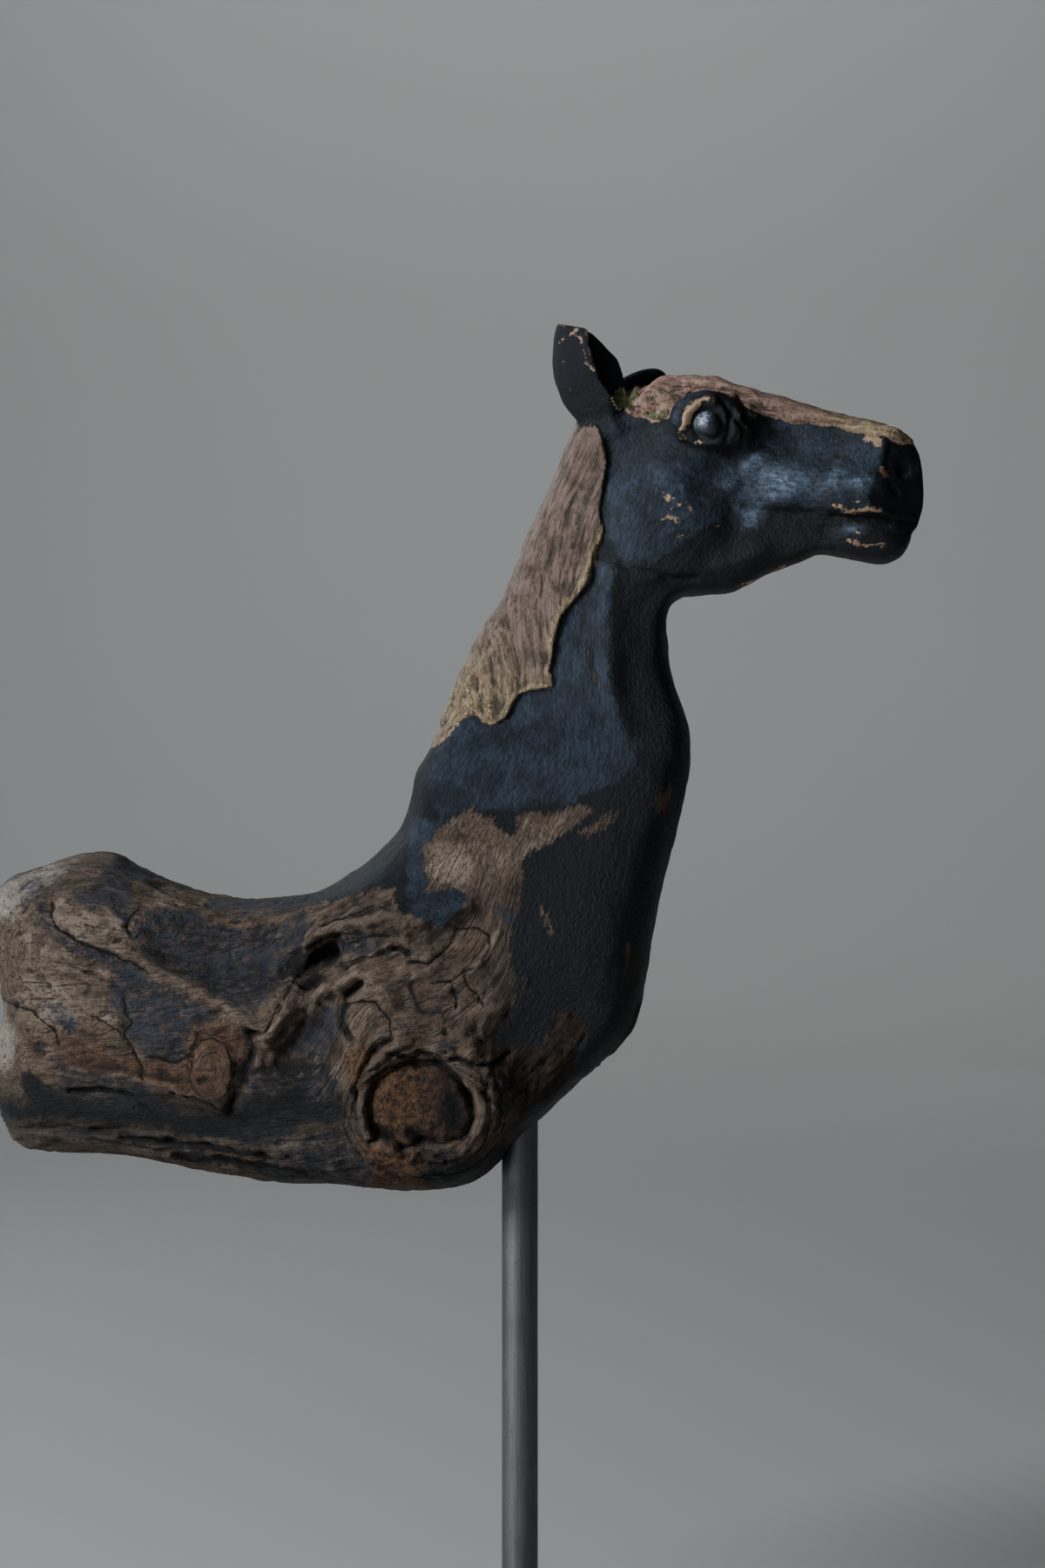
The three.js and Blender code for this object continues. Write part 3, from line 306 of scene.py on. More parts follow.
# Patches of the near side as closed lines. Slate: old blue black paint left on the bare log
SLATE = [
    [(-164, 279), (-160, 280), (-155, 277), (-163, 271), (-165, 275)],
    [(-158, 272), (-154, 270), (-152, 262), (-150, 258), (-153, 258), (-157, 265)],
    [(-147, 276), (-140, 277), (-138, 281), (-133, 291), (-126, 288), (-119, 282), (-122, 279),
     (-128, 279), (-127, 272), (-126, 266), (-128, 264), (-135, 270), (-143, 271)],
    [(-150, 262), (-143, 260), (-136, 257), (-128, 254), (-124, 251), (-131, 250), (-141, 254),
     (-148, 257)],
    [(-123, 270), (-108, 270), (-104, 267), (-98, 264.5), (-88, 263), (-78, 265), (-70, 270),
     (-68, 264), (-72, 256), (-75, 250), (-79, 244), (-84, 239.5), (-91, 238), (-99, 242.5),
     (-104, 246.5), (-110, 250), (-116, 251), (-122, 252), (-123, 256), (-127, 262), (-123, 266)],
    [(-103, 270), (-98, 278), (-70, 280), (-60, 278), (-66, 271.5), (-80, 268.5), (-92, 268)],
    [(-133, 250), (-128, 252), (-120, 249), (-110, 245), (-107, 240), (-101, 238), (-97, 236),
     (-101, 235), (-108, 230), (-108, 222), (-112, 220.5), (-120, 222), (-127, 228), (-129, 234),
     (-133, 240)],
    [(-156, 241), (-150, 239), (-146, 237), (-144, 232), (-147, 229), (-152, 233)],
    [(-161.5, 218), (-158.5, 216), (-156, 213), (-149, 210.5), (-147.5, 207), (-146, 204.5),
     (-150, 202), (-157, 201), (-180, 199), (-174, 204), (-162, 206), (-162, 213)],
    [(-152, 226), (-150, 220), (-143, 217), (-130, 216), (-124, 214), (-119, 211), (-114, 208.5),
     (-112, 204), (-104, 203), (-97, 202), (-92, 207), (-88, 213), (-86, 219), (-80, 220),
     (-70, 222), (-62, 219), (-58, 214), (-57, 207), (-59, 200.5), (-66, 202), (-72, 201),
     (-75, 195), (-85, 193), (-100, 196), (-120, 199), (-140, 201), (-147, 204), (-148, 210), (-150, 216)],
    [(-75, 230), (-70, 234), (-66, 237), (-60, 240), (-57.5, 236), (-57, 230), (-61, 226),
     (-63, 221), (-70, 222), (-76, 224)],
    [(-68, 197), (-60, 199), (-55, 194), (-49, 187), (-52, 172), (-75, 172), (-86, 186), (-76, 191)],
    [(-27, 228), (-20, 228), (-21, 225), (-26, 225)],
    [(-35, 193), (-30, 193.5), (-23, 192), (-27, 189.5), (-35, 190)],
    [(-31, 188), (-24, 192), (-14, 191), (-4, 191), (2, 184), (-10, 172), (-26, 172), (-31, 182)],
    [(-6, 216), (-2, 216), (0, 208), (-4, 205), (-7, 210)],
    [(-30.5, 238.5), (-26, 238.5), (-26, 236.8), (-30.5, 237)],
    [(-8, 270.5), (-2, 270), (-2, 265), (-6, 265.6)],
    [(-150, 199), (-130, 197), (-118, 194.5), (-104, 192.5), (-104, 190.5), (-130, 193), (-148, 196)],
    [(-60, 262), (-50, 263), (-44, 259), (-49, 255), (-58, 255)],
]

# Black paint: everything from the shoulder up, less the rubbed patches after it
PAINT = [
    (-80, 290), (-76, 273.5), (-62, 272.5), (-52, 275), (-46, 277.4), (-41, 277), (-40, 271),
    (-35, 269), (-30, 266), (-26, 264.5), (-21, 267), (-17, 271), (-16.6, 275.4), (-20, 277.4),
    (-24, 276.5), (-29, 276), (-30.6, 284), (-31.6, 290), (-29, 292), (-27, 296), (-24, 299),
    (-18, 302), (-15, 303), (-12, 301), (-9, 300.5), (-8, 298), (-5, 295), (-2, 294.5), (-1, 297),
    (0, 301), (4, 302), (8, 301.5), (14, 303), (18, 304), (22, 304.6), (23.6, 302), (20, 299),
    (18, 296.6), (14, 295), (10, 292), (4, 290), (1.5, 286), (0.5, 279),
    (0.5, 273), (-1.5, 268), (-2.4, 262), (-3.4, 255), (-1.4, 248), (-1.6, 240), (-3, 235),
    (-7, 231), (-9.4, 227.4), (-5.4, 225.6), (-2, 226.4), (4, 225.6), (8.5, 226.4), (10, 232),
    (12, 237.4), (18, 237.6), (21.6, 233), (20.4, 226), (17.6, 219.4), (14, 212.6), (9, 207.4),
    (2, 206), (-1, 198), (10, 180), (70, 180), (160, 370), (160, 490), (-20, 490), (-70, 330),
]
RUBBED = [
    [(7, 272), (9.4, 269), (11.6, 262.4), (9.6, 261.4), (8, 265)],
    [(0.6, 249), (2.6, 248), (3.4, 243), (1.2, 242.6)],
    [(44, 302), (46, 308), (49, 312), (49.6, 307), (47.4, 301)],
    [(25, 216), (31, 222), (36, 230), (39, 239), (41, 238), (38, 227), (31, 217)],
    [(34, 259), (36, 258.6), (35.6, 248), (33.6, 244)],
    [(21.6, 355.6), (22.6, 355), (25, 344.4), (24.4, 343.6)],
    [(25, 299.6), (32, 302.6), (30, 299), (22, 293.6), (20, 294.6)],
]

# Broad planes where the black paint is dull and bluish, drawn paler as a painted sheen where they face the
# light
DULL_AND_LIT = [
    [(29, 431), (28.5, 392), (33, 385), (42, 384), (52, 389), (62, 396), (72, 402.5), (84, 403.4),
     (100, 402.4), (119.6, 400.4), (119.6, 423), (112, 427), (97, 430), (84, 431.5), (80, 427),
     (76, 423.6), (70, 419), (62, 420), (54, 421), (49, 425), (47, 431), (40, 433)],
    [(24, 384), (33, 383), (30, 376), (29, 360), (29.4, 344), (33, 332), (40, 323), (33, 312),
     (18, 306), (0, 303), (-16, 303), (-26, 300), (-31, 312), (-20, 338), (0, 345), (12, 362)],
    [(50, 431), (51, 436), (56, 440.6), (62, 441), (62, 438.6), (57, 437.6), (53, 433.6), (52, 428)],
    [(-36, 300), (-26, 299), (-29, 286), (-27, 277.6), (-15, 277), (-16, 266), (-27, 261), (-37, 268)],
]

# Painted sheen, where the dull paint is drawn palest: half width and line
SHEEN = {
    "cheek": (5, [(74, 401), (79, 407), (88, 412)]),
    "under_eye": (1.4, [(69, 410), (77, 417.6)]),
    "muzzle": (1.4, [(92, 411), (104, 410.6), (117, 409)]),
    "lower_lip": (0.8, [(108, 394.4), (113, 394.8)]),
    "nostril": (1, [(127, 413.6), (131, 415.4)]),
}

# Copper paint over the forehead and down the nose, besides the mane
FOREHEAD = [
    (33, 440), (34.6, 433.6), (40, 430.6), (46, 430.5), (49, 432), (52, 436.6), (56, 440.2),
    (61, 440.8), (67, 439.4), (72, 437), (76, 434.6), (80.6, 432.4), (84, 431.4), (90, 430), (97, 429),
    (105, 428), (110, 426.6), (114, 425.8), (120, 425), (127, 423), (136, 424), (134, 440),
    (100, 452), (60, 460), (38, 452),
]

# Places where the wood is warmer, paler or bleached
WARM = [
    [(-154, 232), (-144, 230), (-136, 225.6), (-129, 222.6), (-119, 222), (-111, 219.6),
     (-108, 230), (-100, 234), (-90, 231), (-88, 220), (-92, 207), (-100, 206.6), (-112, 211.5),
     (-123, 214.5), (-130, 216.5), (-140, 217.5), (-147, 219)],
    [(-49, 214), (-44, 219), (-34, 221), (-24, 219), (-17, 211), (-17, 200), (-22, 196), (-36, 194),
     (-47, 198)],
    [(-2, 206), (-6, 220), (4, 226), (12, 238), (20, 238), (22, 230), (16, 216), (8, 207)],
    [(-52, 196), (-38, 193), (-26, 189), (-24, 180), (-46, 180)],
    [(-53, 228), (-46, 225), (-50, 218), (-52, 212), (-56, 222)],
]
PALE = [
    [(-162, 262), (-150, 256), (-134, 250), (-133, 238), (-146, 230), (-160, 233)],
    [(-154, 274), (-146, 272), (-130, 266), (-126, 253), (-140, 258), (-153, 265)],
    [(-26, 290), (-10, 296), (4, 299), (18, 301), (10, 293), (0, 284), (-14, 276), (-30, 282)],
    [(-124, 277), (-104, 272.4), (-100, 269), (-121, 271)],
    [(-80, 232), (-68, 243), (-56, 249), (-38, 252), (-40, 244), (-60, 241)],
    [(-80, 196), (-66, 202), (-58, 201), (-62, 196), (-74, 190)],
]
BLEACHED = [
    [(-182, 286), (-165, 292), (-150, 292), (-147, 286), (-155, 278), (-163, 272), (-168, 266),
     (-182, 266)],
    [(-182, 239), (-171, 238), (-166, 230), (-167, 217), (-182, 217)],
]

# Painted shade, drawn black: in the rotten hollow, the crevices, the knot's core, the eye's socket and
# corner and low on the log, as radius and line
PAINTED_SHADE = {
    "hollow_upper": (3.2, [(-72, 250.5), (-67, 253.5), (-62, 256)]),
    "hollow_lower": (1.7, [(-70, 245.5), (-64.5, 248)]),
    "core_right": (2.6, [(-23, 209), (-21, 201)]),
    "core_foot": (2.2, [(-35, 198.5), (-32, 196.5)]),
    "core_left": (2, [(-46, 199), (-42, 198)]),
    "knot_hole": (0.8, [(-104, 215), (-102, 215.5)]),
    "knot_crevice": (1.4, [(-88, 229), (-87, 223), (-90, 213), (-94, 206)]),
    "rump_left": (3.4, [(-160, 214), (-156, 208), (-152, 206)]),
    "rump_right": (2.4, [(-168, 203), (-150, 204), (-136, 203), (-118, 202)]),
    "lower_band": (3, [(-112, 200), (-96, 199), (-84, 206), (-72, 210)]),
    "eye_corner": (3.2, [(66, 438.6), (71, 436), (73, 430.6), (69.6, 425)]),
    "eye_socket": (1.1, [(56.4, 425), (56, 429), (57.6, 432.6), (61, 434.6)]),
    "belly_a": (1.4, [(-130, 195), (-116, 194), (-103, 192.5), (-84, 190.5)]),
    "belly_b": (1.6, [(-112, 189), (-100, 187.6), (-86, 186), (-64, 183)]),
    "belly_c": (1.2, [(-172, 201), (-150, 204), (-146, 207)]),
    "band": (1.6, [(-92, 217), (-80, 218.6), (-66, 219)]),
    "under_knot": (3, [(-28, 183), (-14, 184), (-6, 190)]),
    "collar": (1, [(-76, 243), (-72.6, 248)]),
    "panel": (1.2, [(-57, 238), (-57.4, 233)]),
}

# Gold showing at edges and in scratches: half width and line
GOLD = {
    "ear_ridge": (0.25, [(17, 460.5), (19, 460), (20, 456), (21, 453), (21.5, 449), (24, 446.5)]),
    "ear_back": (0.2, [(13.5, 455.5), (14.6, 458), (16.5, 459.5)]),
    "upper_lid": (0.75, [(53, 426.6), (53.4, 430), (55.4, 433.6), (58, 436.2), (61.4, 437.4)]),
    "lid_middle": (1.5, [(53.9, 429.5), (55.4, 433.2), (57.6, 435.6)]),
    "lid_foot": (0.35, [(53.6, 424.6), (54.4, 424.2)]),
    "lower_lid": (0.3, [(57.6, 423.2), (60, 422.8)]),
    "cheek_a": (0.75, [(46.5, 406.6), (48, 404.6), (49.5, 405)]),
    "cheek_b": (0.45, [(50, 401.5), (54, 402.5), (57, 401)]),
    "cheek_c": (0.35, [(46, 397.5), (49, 398), (52, 397.5)]),
    "cheek_d": (0.4, [(51, 392.5), (53, 392.6)]),
    "cheek_e": (0.4, [(65, 395.5), (66, 395.6)]),
    "nose_a": (1.2, [(114, 425.6), (117.4, 424.6), (118, 422.6)]),
    "nose_b": (0.8, [(118.6, 415), (120.4, 412.6)]),
    "upper_lip": (0.5, [(103, 402), (106, 401.3), (110, 400.6), (114, 401.3), (118.5, 400.5)]),
    "lip_spot": (0.5, [(110.5, 404), (112, 404)]),
    "lower_lip": (0.4, [(108, 391), (113, 390), (120, 389.5)]),
    "lip_mark": (0.4, [(111, 393.5), (113, 393.5)]),
    "mane_a": (0.5, [(-27, 323.5), (-24, 327), (-20.6, 331)]),
    "mane_b": (0.5, [(25, 383), (24.4, 388), (27, 394)]),
    "jaw": (0.2, [(73, 376.6), (82, 380), (88, 383)]),
}

# How the grain runs over the side view: x, z, angle in degrees and reach
GRAIN = [
    (-168, 264, -48, 10), (-150, 262, -36, 12), (-136, 250, -24, 14), (-160, 240, -50, 14),
    (-150, 222, -12, 12), (-120, 214, -10, 14), (-150, 196, -3, 12), (-100, 192, -6, 16),
    (-134, 280, -24, 10), (-112, 262, -8, 14), (-92, 250, 4, 12), (-92, 268, 0, 10),
    (-76, 262, 38, 8), (-70, 240, 46, 8), (-58, 258, 26, 8), (-64, 228, 60, 9), (-78, 204, -4, 12),
    (-56, 210, 82, 6), (-40, 258, 10, 10), (-24, 250, 18, 10), (-8, 244, 58, 9), (-22, 232, 12, 9),
    (-6, 226, 20, 8), (-34, 186, -2, 10), (-8, 196, 60, 8), (12, 216, 62, 12), (24, 250, 78, 14),
    (-12, 282, 58, 12), (-56, 272, 24, 8), (10, 305, 48, 14), (-20, 312, 52, 10), (24, 340, 84, 12),
    (-8, 350, 108, 8), (8, 362, 114, 8), (2, 380, 98, 9), (20, 390, 96, 8), (12, 414, 74, 7),
    (25, 416, 92, 6), (32, 400, 92, 10), (56, 400, 14, 14), (90, 412, -6, 16), (120, 410, -4, 12),
    (60, 440, -8, 10), (44, 290, 72, 14), (22, 450, 74, 8),
]

# Knots, which the grain rings: x, z, half length, half height
KNOTS = [(-31, 203, 26, 20.5), (-99.5, 219, 8, 10.5)]

# Crumbling wood round the knots and the collar: x, z, reach and rise
CRUMBLING = [
    (-31, 206, 20, 0.4), (-66, 250, 15, 0.7), (-44, 262, 14, 0.6), (-88, 222, 12, 0.6),
    (-60, 186, 40, 0.5),
]

# Places on the head where moss has caught, beside the near ear
MOSS = [
    [(29, 436), (31, 441), (36, 443), (40, 441.6), (39, 438), (36.4, 435), (33, 433.4)],
    [(37, 432.6), (42, 431), (48, 431.4), (50, 433), (48, 434), (42, 433.4)],
    [(40, 437.6), (44, 436.6), (46, 437.4), (42, 439)],
]

# Fixed colours of the wood: its crumbs, painted shade in its hollows, its pores with painted shadow under
# its ledges, painted shade, black painted shade with dark patches, and its cracks
ROTTEN_CRUMBS = (0.31, 0.15, 0.064)
WOOD_HOLLOW_SHADE = (0.018, 0.013, 0.01)
WOOD_PORES_AND_SHADOW = (0.025, 0.017, 0.013)
WOOD_SHADE = (0.024, 0.017, 0.014)
SHADE_AND_DARK_BLACK = (0.006, 0.005, 0.005)
CRACK_BLACK = (0.007, 0.005, 0.004)

# Fixed colours of the paints: slate, black and the metal ones on mane, forehead and edges, with painted
# shade in the hollows, a painted blue sheen, metal drawn brighter over the front as painted light, and
# painted gold glints
PALE_SLATE = (0.044, 0.046, 0.06)
SLATE_HOLLOW_SHADE = (0.008, 0.008, 0.01)
PAINT_HOLLOW_SHADE = (0.004, 0.005, 0.006)
SHEEN_BLUE = (0.22, 0.285, 0.39)
LIT_FRONT_ROSE = (0.52, 0.26, 0.2)
LIT_FRONT_PALE = (0.75, 0.47, 0.37)
LIT_FRONT_GOLD = (0.8, 0.56, 0.3)
MANE_PALE = (0.36, 0.25, 0.205)
GLINT_GOLD = (0.72, 0.55, 0.33)
EDGE_GOLD = (0.5, 0.32, 0.2)

# The eye's glass and the painted highlight on it, and the dull patches on the steel
EYE_GLASS = (0.022, 0.027, 0.037)
EYE_PAINTED_HIGHLIGHT = (0.4, 0.46, 0.56)
STEEL_BLOOM = (0.07, 0.055, 0.05)

# Where the weld's ripples lie, in millimetres: from the rod's middle, and over the floor
WELD_RING = (8.0, 11.2)

# The camera's place sideways, then each light's place, target and size, all in metres, and the
# light of the surroundings
CAMERA_X = 0.00087
MIDDLE = (0, 0, 0.3)
LIGHTS = {
    "key": ((-1.38, -0.98, 0.92), MIDDLE, 0.55),
    "window": ((-0.8, -1.5, 0.85), MIDDLE, 1.2),
    "rim": ((-0.8, 1.1, 1.1), MIDDLE, 0.8),
    "backdrop": ((0, 2.4, 2.4), (0, 4, 0.9), 1.5),
}
WORLD_COLOR = (0.8, 0.84, 0.9, 1)
WORLD_STRENGTH = 0.05


def smooth(t):
    """Eases a number from 0 to 1."""
    t = np.clip(t, 0, 1)
    return t * t * (3 - 2 * t)


def smooth_min(a, b, blend):
    """The lower of two fields, rounded where they meet."""
    h = np.maximum(blend - np.abs(a - b), 0) / blend
    return np.minimum(a, b) - h * h * blend * 0.25


def smooth_max(a, b, blend):
    """The higher of two fields, rounded where they meet."""
    return -smooth_min(-a, -b, blend)


def rounded_loop(knots, steps=5):
    """Points on a closed curve through the knots, with the roundness spread by their spacing."""
    knots = np.array(knots, float)
    points = []
    for i in range(len(knots)):
        p = [knots[(i + k) % len(knots)] for k in (-1, 0, 1, 2)]
        gaps = [math.sqrt(np.linalg.norm(p[k + 1] - p[k])) for k in range(3)]
        t = np.cumsum([0] + gaps)
        for s in np.linspace(t[1], t[2], steps, endpoint=False):
            a = [((t[k + 1] - s) * p[k] + (s - t[k]) * p[k + 1]) / gaps[k] for k in range(3)]
            b = [((t[k + 2] - s) * a[k] + (s - t[k]) * a[k + 1]) / (t[k + 2] - t[k]) for k in range(2)]
            points.append(((t[2] - s) * b[0] + (s - t[1]) * b[1]) / (t[2] - t[1]))
    return np.array(points)


def line_distance(x, z, line):
    """Distance from each point to a line, and which side of it the point is on."""
    best = np.full(np.shape(x), np.inf)
    side = np.zeros(np.shape(x))
    line = np.array(line, float)
    lengths = np.hypot(*np.diff(line, axis=0).T)
    for (ax, az), (bx, bz), length in zip(line, line[1:], lengths):
        t = np.clip(((x - ax) * (bx - ax) + (z - az) * (bz - az)) / length**2, 0, 1)
        d = np.hypot(x - ax - t * (bx - ax), z - az - t * (bz - az))
        nearer = d < best
        best = np.where(nearer, d, best)
        side = np.where(nearer, np.sign((bx - ax) * (z - az) - (bz - az) * (x - ax)), side)
    return best, side


def is_inside(x, z, loop):
    """Whether each point is inside a closed line."""
    inside = np.zeros(np.shape(x), bool)
    for (ax, az), (bx, bz) in zip(loop, np.roll(loop, -1, axis=0)):
        if az == bz:
            continue
        crosses = ((az > z) != (bz > z)) & (x < (bx - ax) * (z - az) / (bz - az) + ax)
        inside ^= crosses
    return inside


def depth_inside(x, z, loop):
    """Distance to a closed line, positive inside it."""
    loop = np.array(loop, float)
    distance = line_distance(x, z, np.vstack([loop, loop[:1]]))[0]
    return np.where(is_inside(x, z, loop), distance, -distance)


def value_noise(points, seed):
    """Smooth noise from -1 to 1 at points whose units are the noise's own cells."""
    table = np.random.default_rng(seed).uniform(-1, 1, (64, 64, 64)).astype(np.float32)
    points = np.asarray(points, np.float32)
    cell = np.floor(points).astype(np.int32)
    part = points - cell
    part = part * part * (3 - 2 * part)
    total = np.zeros(points.shape[:-1], np.float32)
    for corner in range(8):
        bits = [(corner >> k) & 1 for k in range(3)]
        index = [(cell[..., k] + bits[k]) & 63 for k in range(3)]
        weight = np.ones(points.shape[:-1], np.float32)
        for k in range(3):
            weight = weight * (part[..., k] if bits[k] else 1 - part[..., k])
        total += weight * table[index[0], index[1], index[2]]
    return total


def layered_noise(points, seed, layers=3):
    """Several octaves of smooth noise, from about -1 to 1."""
    total = 0
    size = 1.0
    for layer in range(layers):
        total = total + size * value_noise(np.asarray(points) * 2**layer, seed + layer)
        size *= 0.5
    return total


class Plan:
    """Numbers over the side view, on a grid in millimetres, read between its nodes."""

    def __init__(self, low, high, step):
        self.low = low
        self.step = step
        self.x, self.z = np.meshgrid(
            np.arange(low[0], high[0], step), np.arange(low[1], high[1], step), indexing="ij"
        )

    def read(self, values, x, z):
        across = np.clip((x - self.low[0]) / self.step, 0, self.x.shape[0] - 1.001)
        up = np.clip((z - self.low[1]) / self.step, 0, self.x.shape[1] - 1.001)
        i = across.astype(int)
        k = up.astype(int)
        s = across - i
        t = up - k
        below = values[i, k] * (1 - s) + values[i + 1, k] * s
        above = values[i, k + 1] * (1 - s) + values[i + 1, k + 1] * s
        return below * (1 - t) + above * t


def blown_skin(inside, step, rounds=520, gain=1.93):
    """How a skin stretched over the outline bulges: its height is the root of twice this."""
    within = inside > 0
    values = np.zeros(inside.shape)
    share = np.full(inside.shape, 4.0)
    steps = [(0, 1), (0, -1), (1, 1), (1, -1)]
    for axis, shift in steps:
        beside = np.roll(inside, shift, axis)
        reach = np.clip(inside / (inside - beside + 1e-12), 0.15, 1)
        share += np.where(within & (beside <= 0), (1 - reach) / reach, 0)
    checker = np.add.outer(np.arange(inside.shape[0]), np.arange(inside.shape[1])) % 2
    turns = [within & (checker == colour) for colour in (0, 1)]
    for _ in range(rounds):
        for turn in turns:
            near = sum(np.roll(values, shift, axis) for axis, shift in steps)
            values = np.where(turn, values + gain * ((near + step**2) / share - values), values)
    return values


def blend_places(x, z, places, first, count):
    """Weighs numbers given at places by how near each place is, within its own reach."""
    weights = 1e-9
    totals = [0] * count
    for place in places:
        reach = place[-1]
        weight = np.exp(-((x - place[0]) ** 2 + (z - place[1]) ** 2) / (2 * reach**2)) + 1e-9
        weights = weights + weight
        totals = [total + weight * place[first + k] for k, total in enumerate(totals)]
    return [total / weights for total in totals]


def dome_rise(x, z, dome):
    """A smooth oval swelling or hollow."""
    _, cx, cz, long, high, tilt, rise = dome
    turn = math.radians(tilt)
    along = (x - cx) * math.cos(turn) + (z - cz) * math.sin(turn)
    across = (z - cz) * math.cos(turn) - (x - cx) * math.sin(turn)
    return rise * smooth(1 - (along / long) ** 2 - (across / high) ** 2)


def broad_relief(x, z, side):
    """The swellings, hollows, ridges and steps of one side that show from a step away."""
    rise = MANE_RISE * smooth(depth_inside(x, z, MANE_EDGE) / MANE_STEP + 0.5)
    for dome in DOMES.values():
        if dome[0] in (BOTH, side):
            rise = rise + dome_rise(x, z, dome)
    for of_side, wide, height, line in RIDGES.values():
        if of_side in (BOTH, side):
            rise = rise + height * np.exp(-((line_distance(x, z, line)[0] / wide) ** 2))
    if side == NEAR:
        cx, cz, radius, wide, height = KNOT_RING
        rise = rise + height * np.exp(-(((np.hypot(x - cx, z - cz) - radius) / wide) ** 2))
    return rise


def side_squares(plan, inside, skin, depth, rounding, side):
    """The squared half depth of one side over the side view, negative outside the outline."""
    rounded = np.sqrt(2 * np.maximum(skin, 0)) / rounding
    half = depth * rounded / (1 + rounded**4) ** 0.25
    fade = smooth(inside / 9)
    half = half + broad_relief(plan.x, plan.z, side) * fade
    outside = inside * 2 * depth**2 / rounding
    return np.where(inside > 0, np.maximum(half, 0.2) ** 2, outside)


def ear_field(x, y, z, ear):
    """Signed distance to a carved leaf shaped ear with a hollow, near enough to it."""
    base, tip, opening, half_width = (np.array(v, float) for v in ear[:4])
    axis = tip - base
    length = np.linalg.norm(axis)
    axis /= length
    opening = opening - opening.dot(axis) * axis
    opening /= np.linalg.norm(opening)
    sideways = np.cross(axis, opening)
    offset = [x - base[0], y - base[1], z - base[2]]
    along = sum(offset[k] * axis[k] for k in range(3)) / length
    forward = sum(offset[k] * opening[k] for k in range(3))
    across = sum(offset[k] * sideways[k] for k in range(3))
    held = np.clip(along, 0, 1)
    width = half_width * (0.6 + 1.9 * held - 2.6 * held**2 + 0.45 * held**3)
    depth = width * EAR_DEPTH_RATIO
    shell = (np.sqrt((across / width) ** 2 + (forward / depth) ** 2) - 1) * width
    shell = smooth_max(shell, 0.3 * forward - 0.94 * across - 0.86 * width, 0.5)
    ends = np.maximum(-0.2 - along, along - 1) * length
    for cut_x, cut_z, fall in ear[4]:
        shell = smooth_max(shell, (z - cut_z + fall * (x - cut_x)) / math.hypot(1, fall), 0.7)
    hollow = np.sqrt(
        (across / (width * EAR_HOLLOW_WIDTH)) ** 2
        + ((forward - depth * EAR_HOLLOW_OFFSET) / (depth * EAR_HOLLOW_DEPTH)) ** 2
        + ((along - 0.5) / 0.44) ** 2
    )
    hollow = (hollow - 1) * width * EAR_HOLLOW_WIDTH
    return smooth_max(smooth_max(shell, ends, 3), -hollow, 0.8)


class WoodForm:
    """The wood's plan: how deep each side is over the side view, and how far its middle leans."""

    def __init__(self, step):
        loop = rounded_loop(OUTLINE)
        self.plan = Plan(loop.min(0) - 6, loop.max(0) + 6, step)
        x, z = self.plan.x, self.plan.z
        self.inside = depth_inside(x, z, loop)
        skin = blown_skin(self.inside, step)
        depth, rounding, self.lean = blend_places(x, z, DEPTHS.values(), 2, 3)
        self.squares = {
            side: side_squares(self.plan, self.inside, skin, depth, rounding, side)
            for side in (NEAR, FAR)
        }

    def field(self, xs, rows, zs, widen):
        """Signed distance over a net whose rows across are widened with height."""
        x, z = np.meshgrid(xs, zs, indexing="ij")
        lean = self.plan.read(self.lean, x, z)[:, None, :]
        across = rows[None, :, None] * widen(zs)[None, None, :] - lean
        total = np.empty(np.broadcast_shapes(across.shape, (len(xs), 1, 1)), np.float32)
        for side in (NEAR, FAR):
            squares = self.squares[side]
            slope_x, slope_z = np.gradient(squares, self.plan.step)
            here = self.plan.read(squares, x, z)[:, None, :]
            steep = self.plan.read(slope_x**2 + slope_z**2, x, z)[:, None, :]
            chosen = across < 0 if side == NEAR else across >= 0
            distance = (across**2 - here) / np.sqrt(4 * across**2 + steep + 1)
            total = np.where(chosen, distance, total)
        return total.astype(np.float32)


def widening(z):
    """How much wider the net's rows are across the log than across the head."""
    low, high = NARROWING
    return LOG_WIDER + (HEAD_WIDER - LOG_WIDER) * smooth((z - low) / (high - low))


def net_stops(spans):
    """Places of the net's lines, closer together over the head."""
    stops = [np.linspace(a, b, round((b - a) / step), endpoint=False) for a, b, step in spans]
    return np.concatenate(stops + [[spans[-1][1]]])


def net_part(xs, rows, zs, spans):
    """The part of the net between two places in x and two in z, with its own x, y and z."""
    (x_low, x_high), (z_low, z_high) = (np.searchsorted(*pair) for pair in zip((xs, zs), spans))
    x = xs[x_low:x_high][:, None, None]
    z = zs[z_low:z_high][None, None, :]
    return np.s_[x_low:x_high, :, z_low:z_high], x, rows[None, :, None] * widening(z), z


def carve_head(field, xs, rows, zs):
    """Cuts the nose end and the nostrils, and adds the ears, in the part of the net they need."""
    edge, half_depth, slope, blend = NOSE_END
    part, x, y, z = net_part(xs, rows, zs, ((edge - half_depth, np.inf), (MUZZLE_FOOT, np.inf)))
    y = y + MUZZLE_LEAN
    beyond = ((x - edge) * slope + np.abs(y) - half_depth) / math.hypot(slope, 1)
    cut = smooth_max(field[part], beyond, blend)
    nx, nz, ny, long, wide = NOSTRIL
    hole = np.sqrt(((x - nx) / long) ** 2 + ((np.abs(y) - ny) / wide) ** 2 + ((z - nz) / wide) ** 2)
    field[part] = smooth_max(cut, (1 - hole) * wide, 1)

    part, x, y, z = net_part(xs, rows, zs, EAR_SPANS)
    for ear in EARS:
        field[part] = smooth_min(field[part], ear_field(x, y, z, ear), EAR_BLEND)


def bore_rod_hole(field, xs, rows, zs):
    """Cuts the blind hole that the rod stands in."""
    part, x, y, z = net_part(xs, rows, zs, ROD_HOLE_SPANS)
    hole = np.maximum(np.hypot(x, y) - ROD_HOLE[0], z - ROD_HOLE[1])
    field[part] = np.maximum(field[part], -hole)


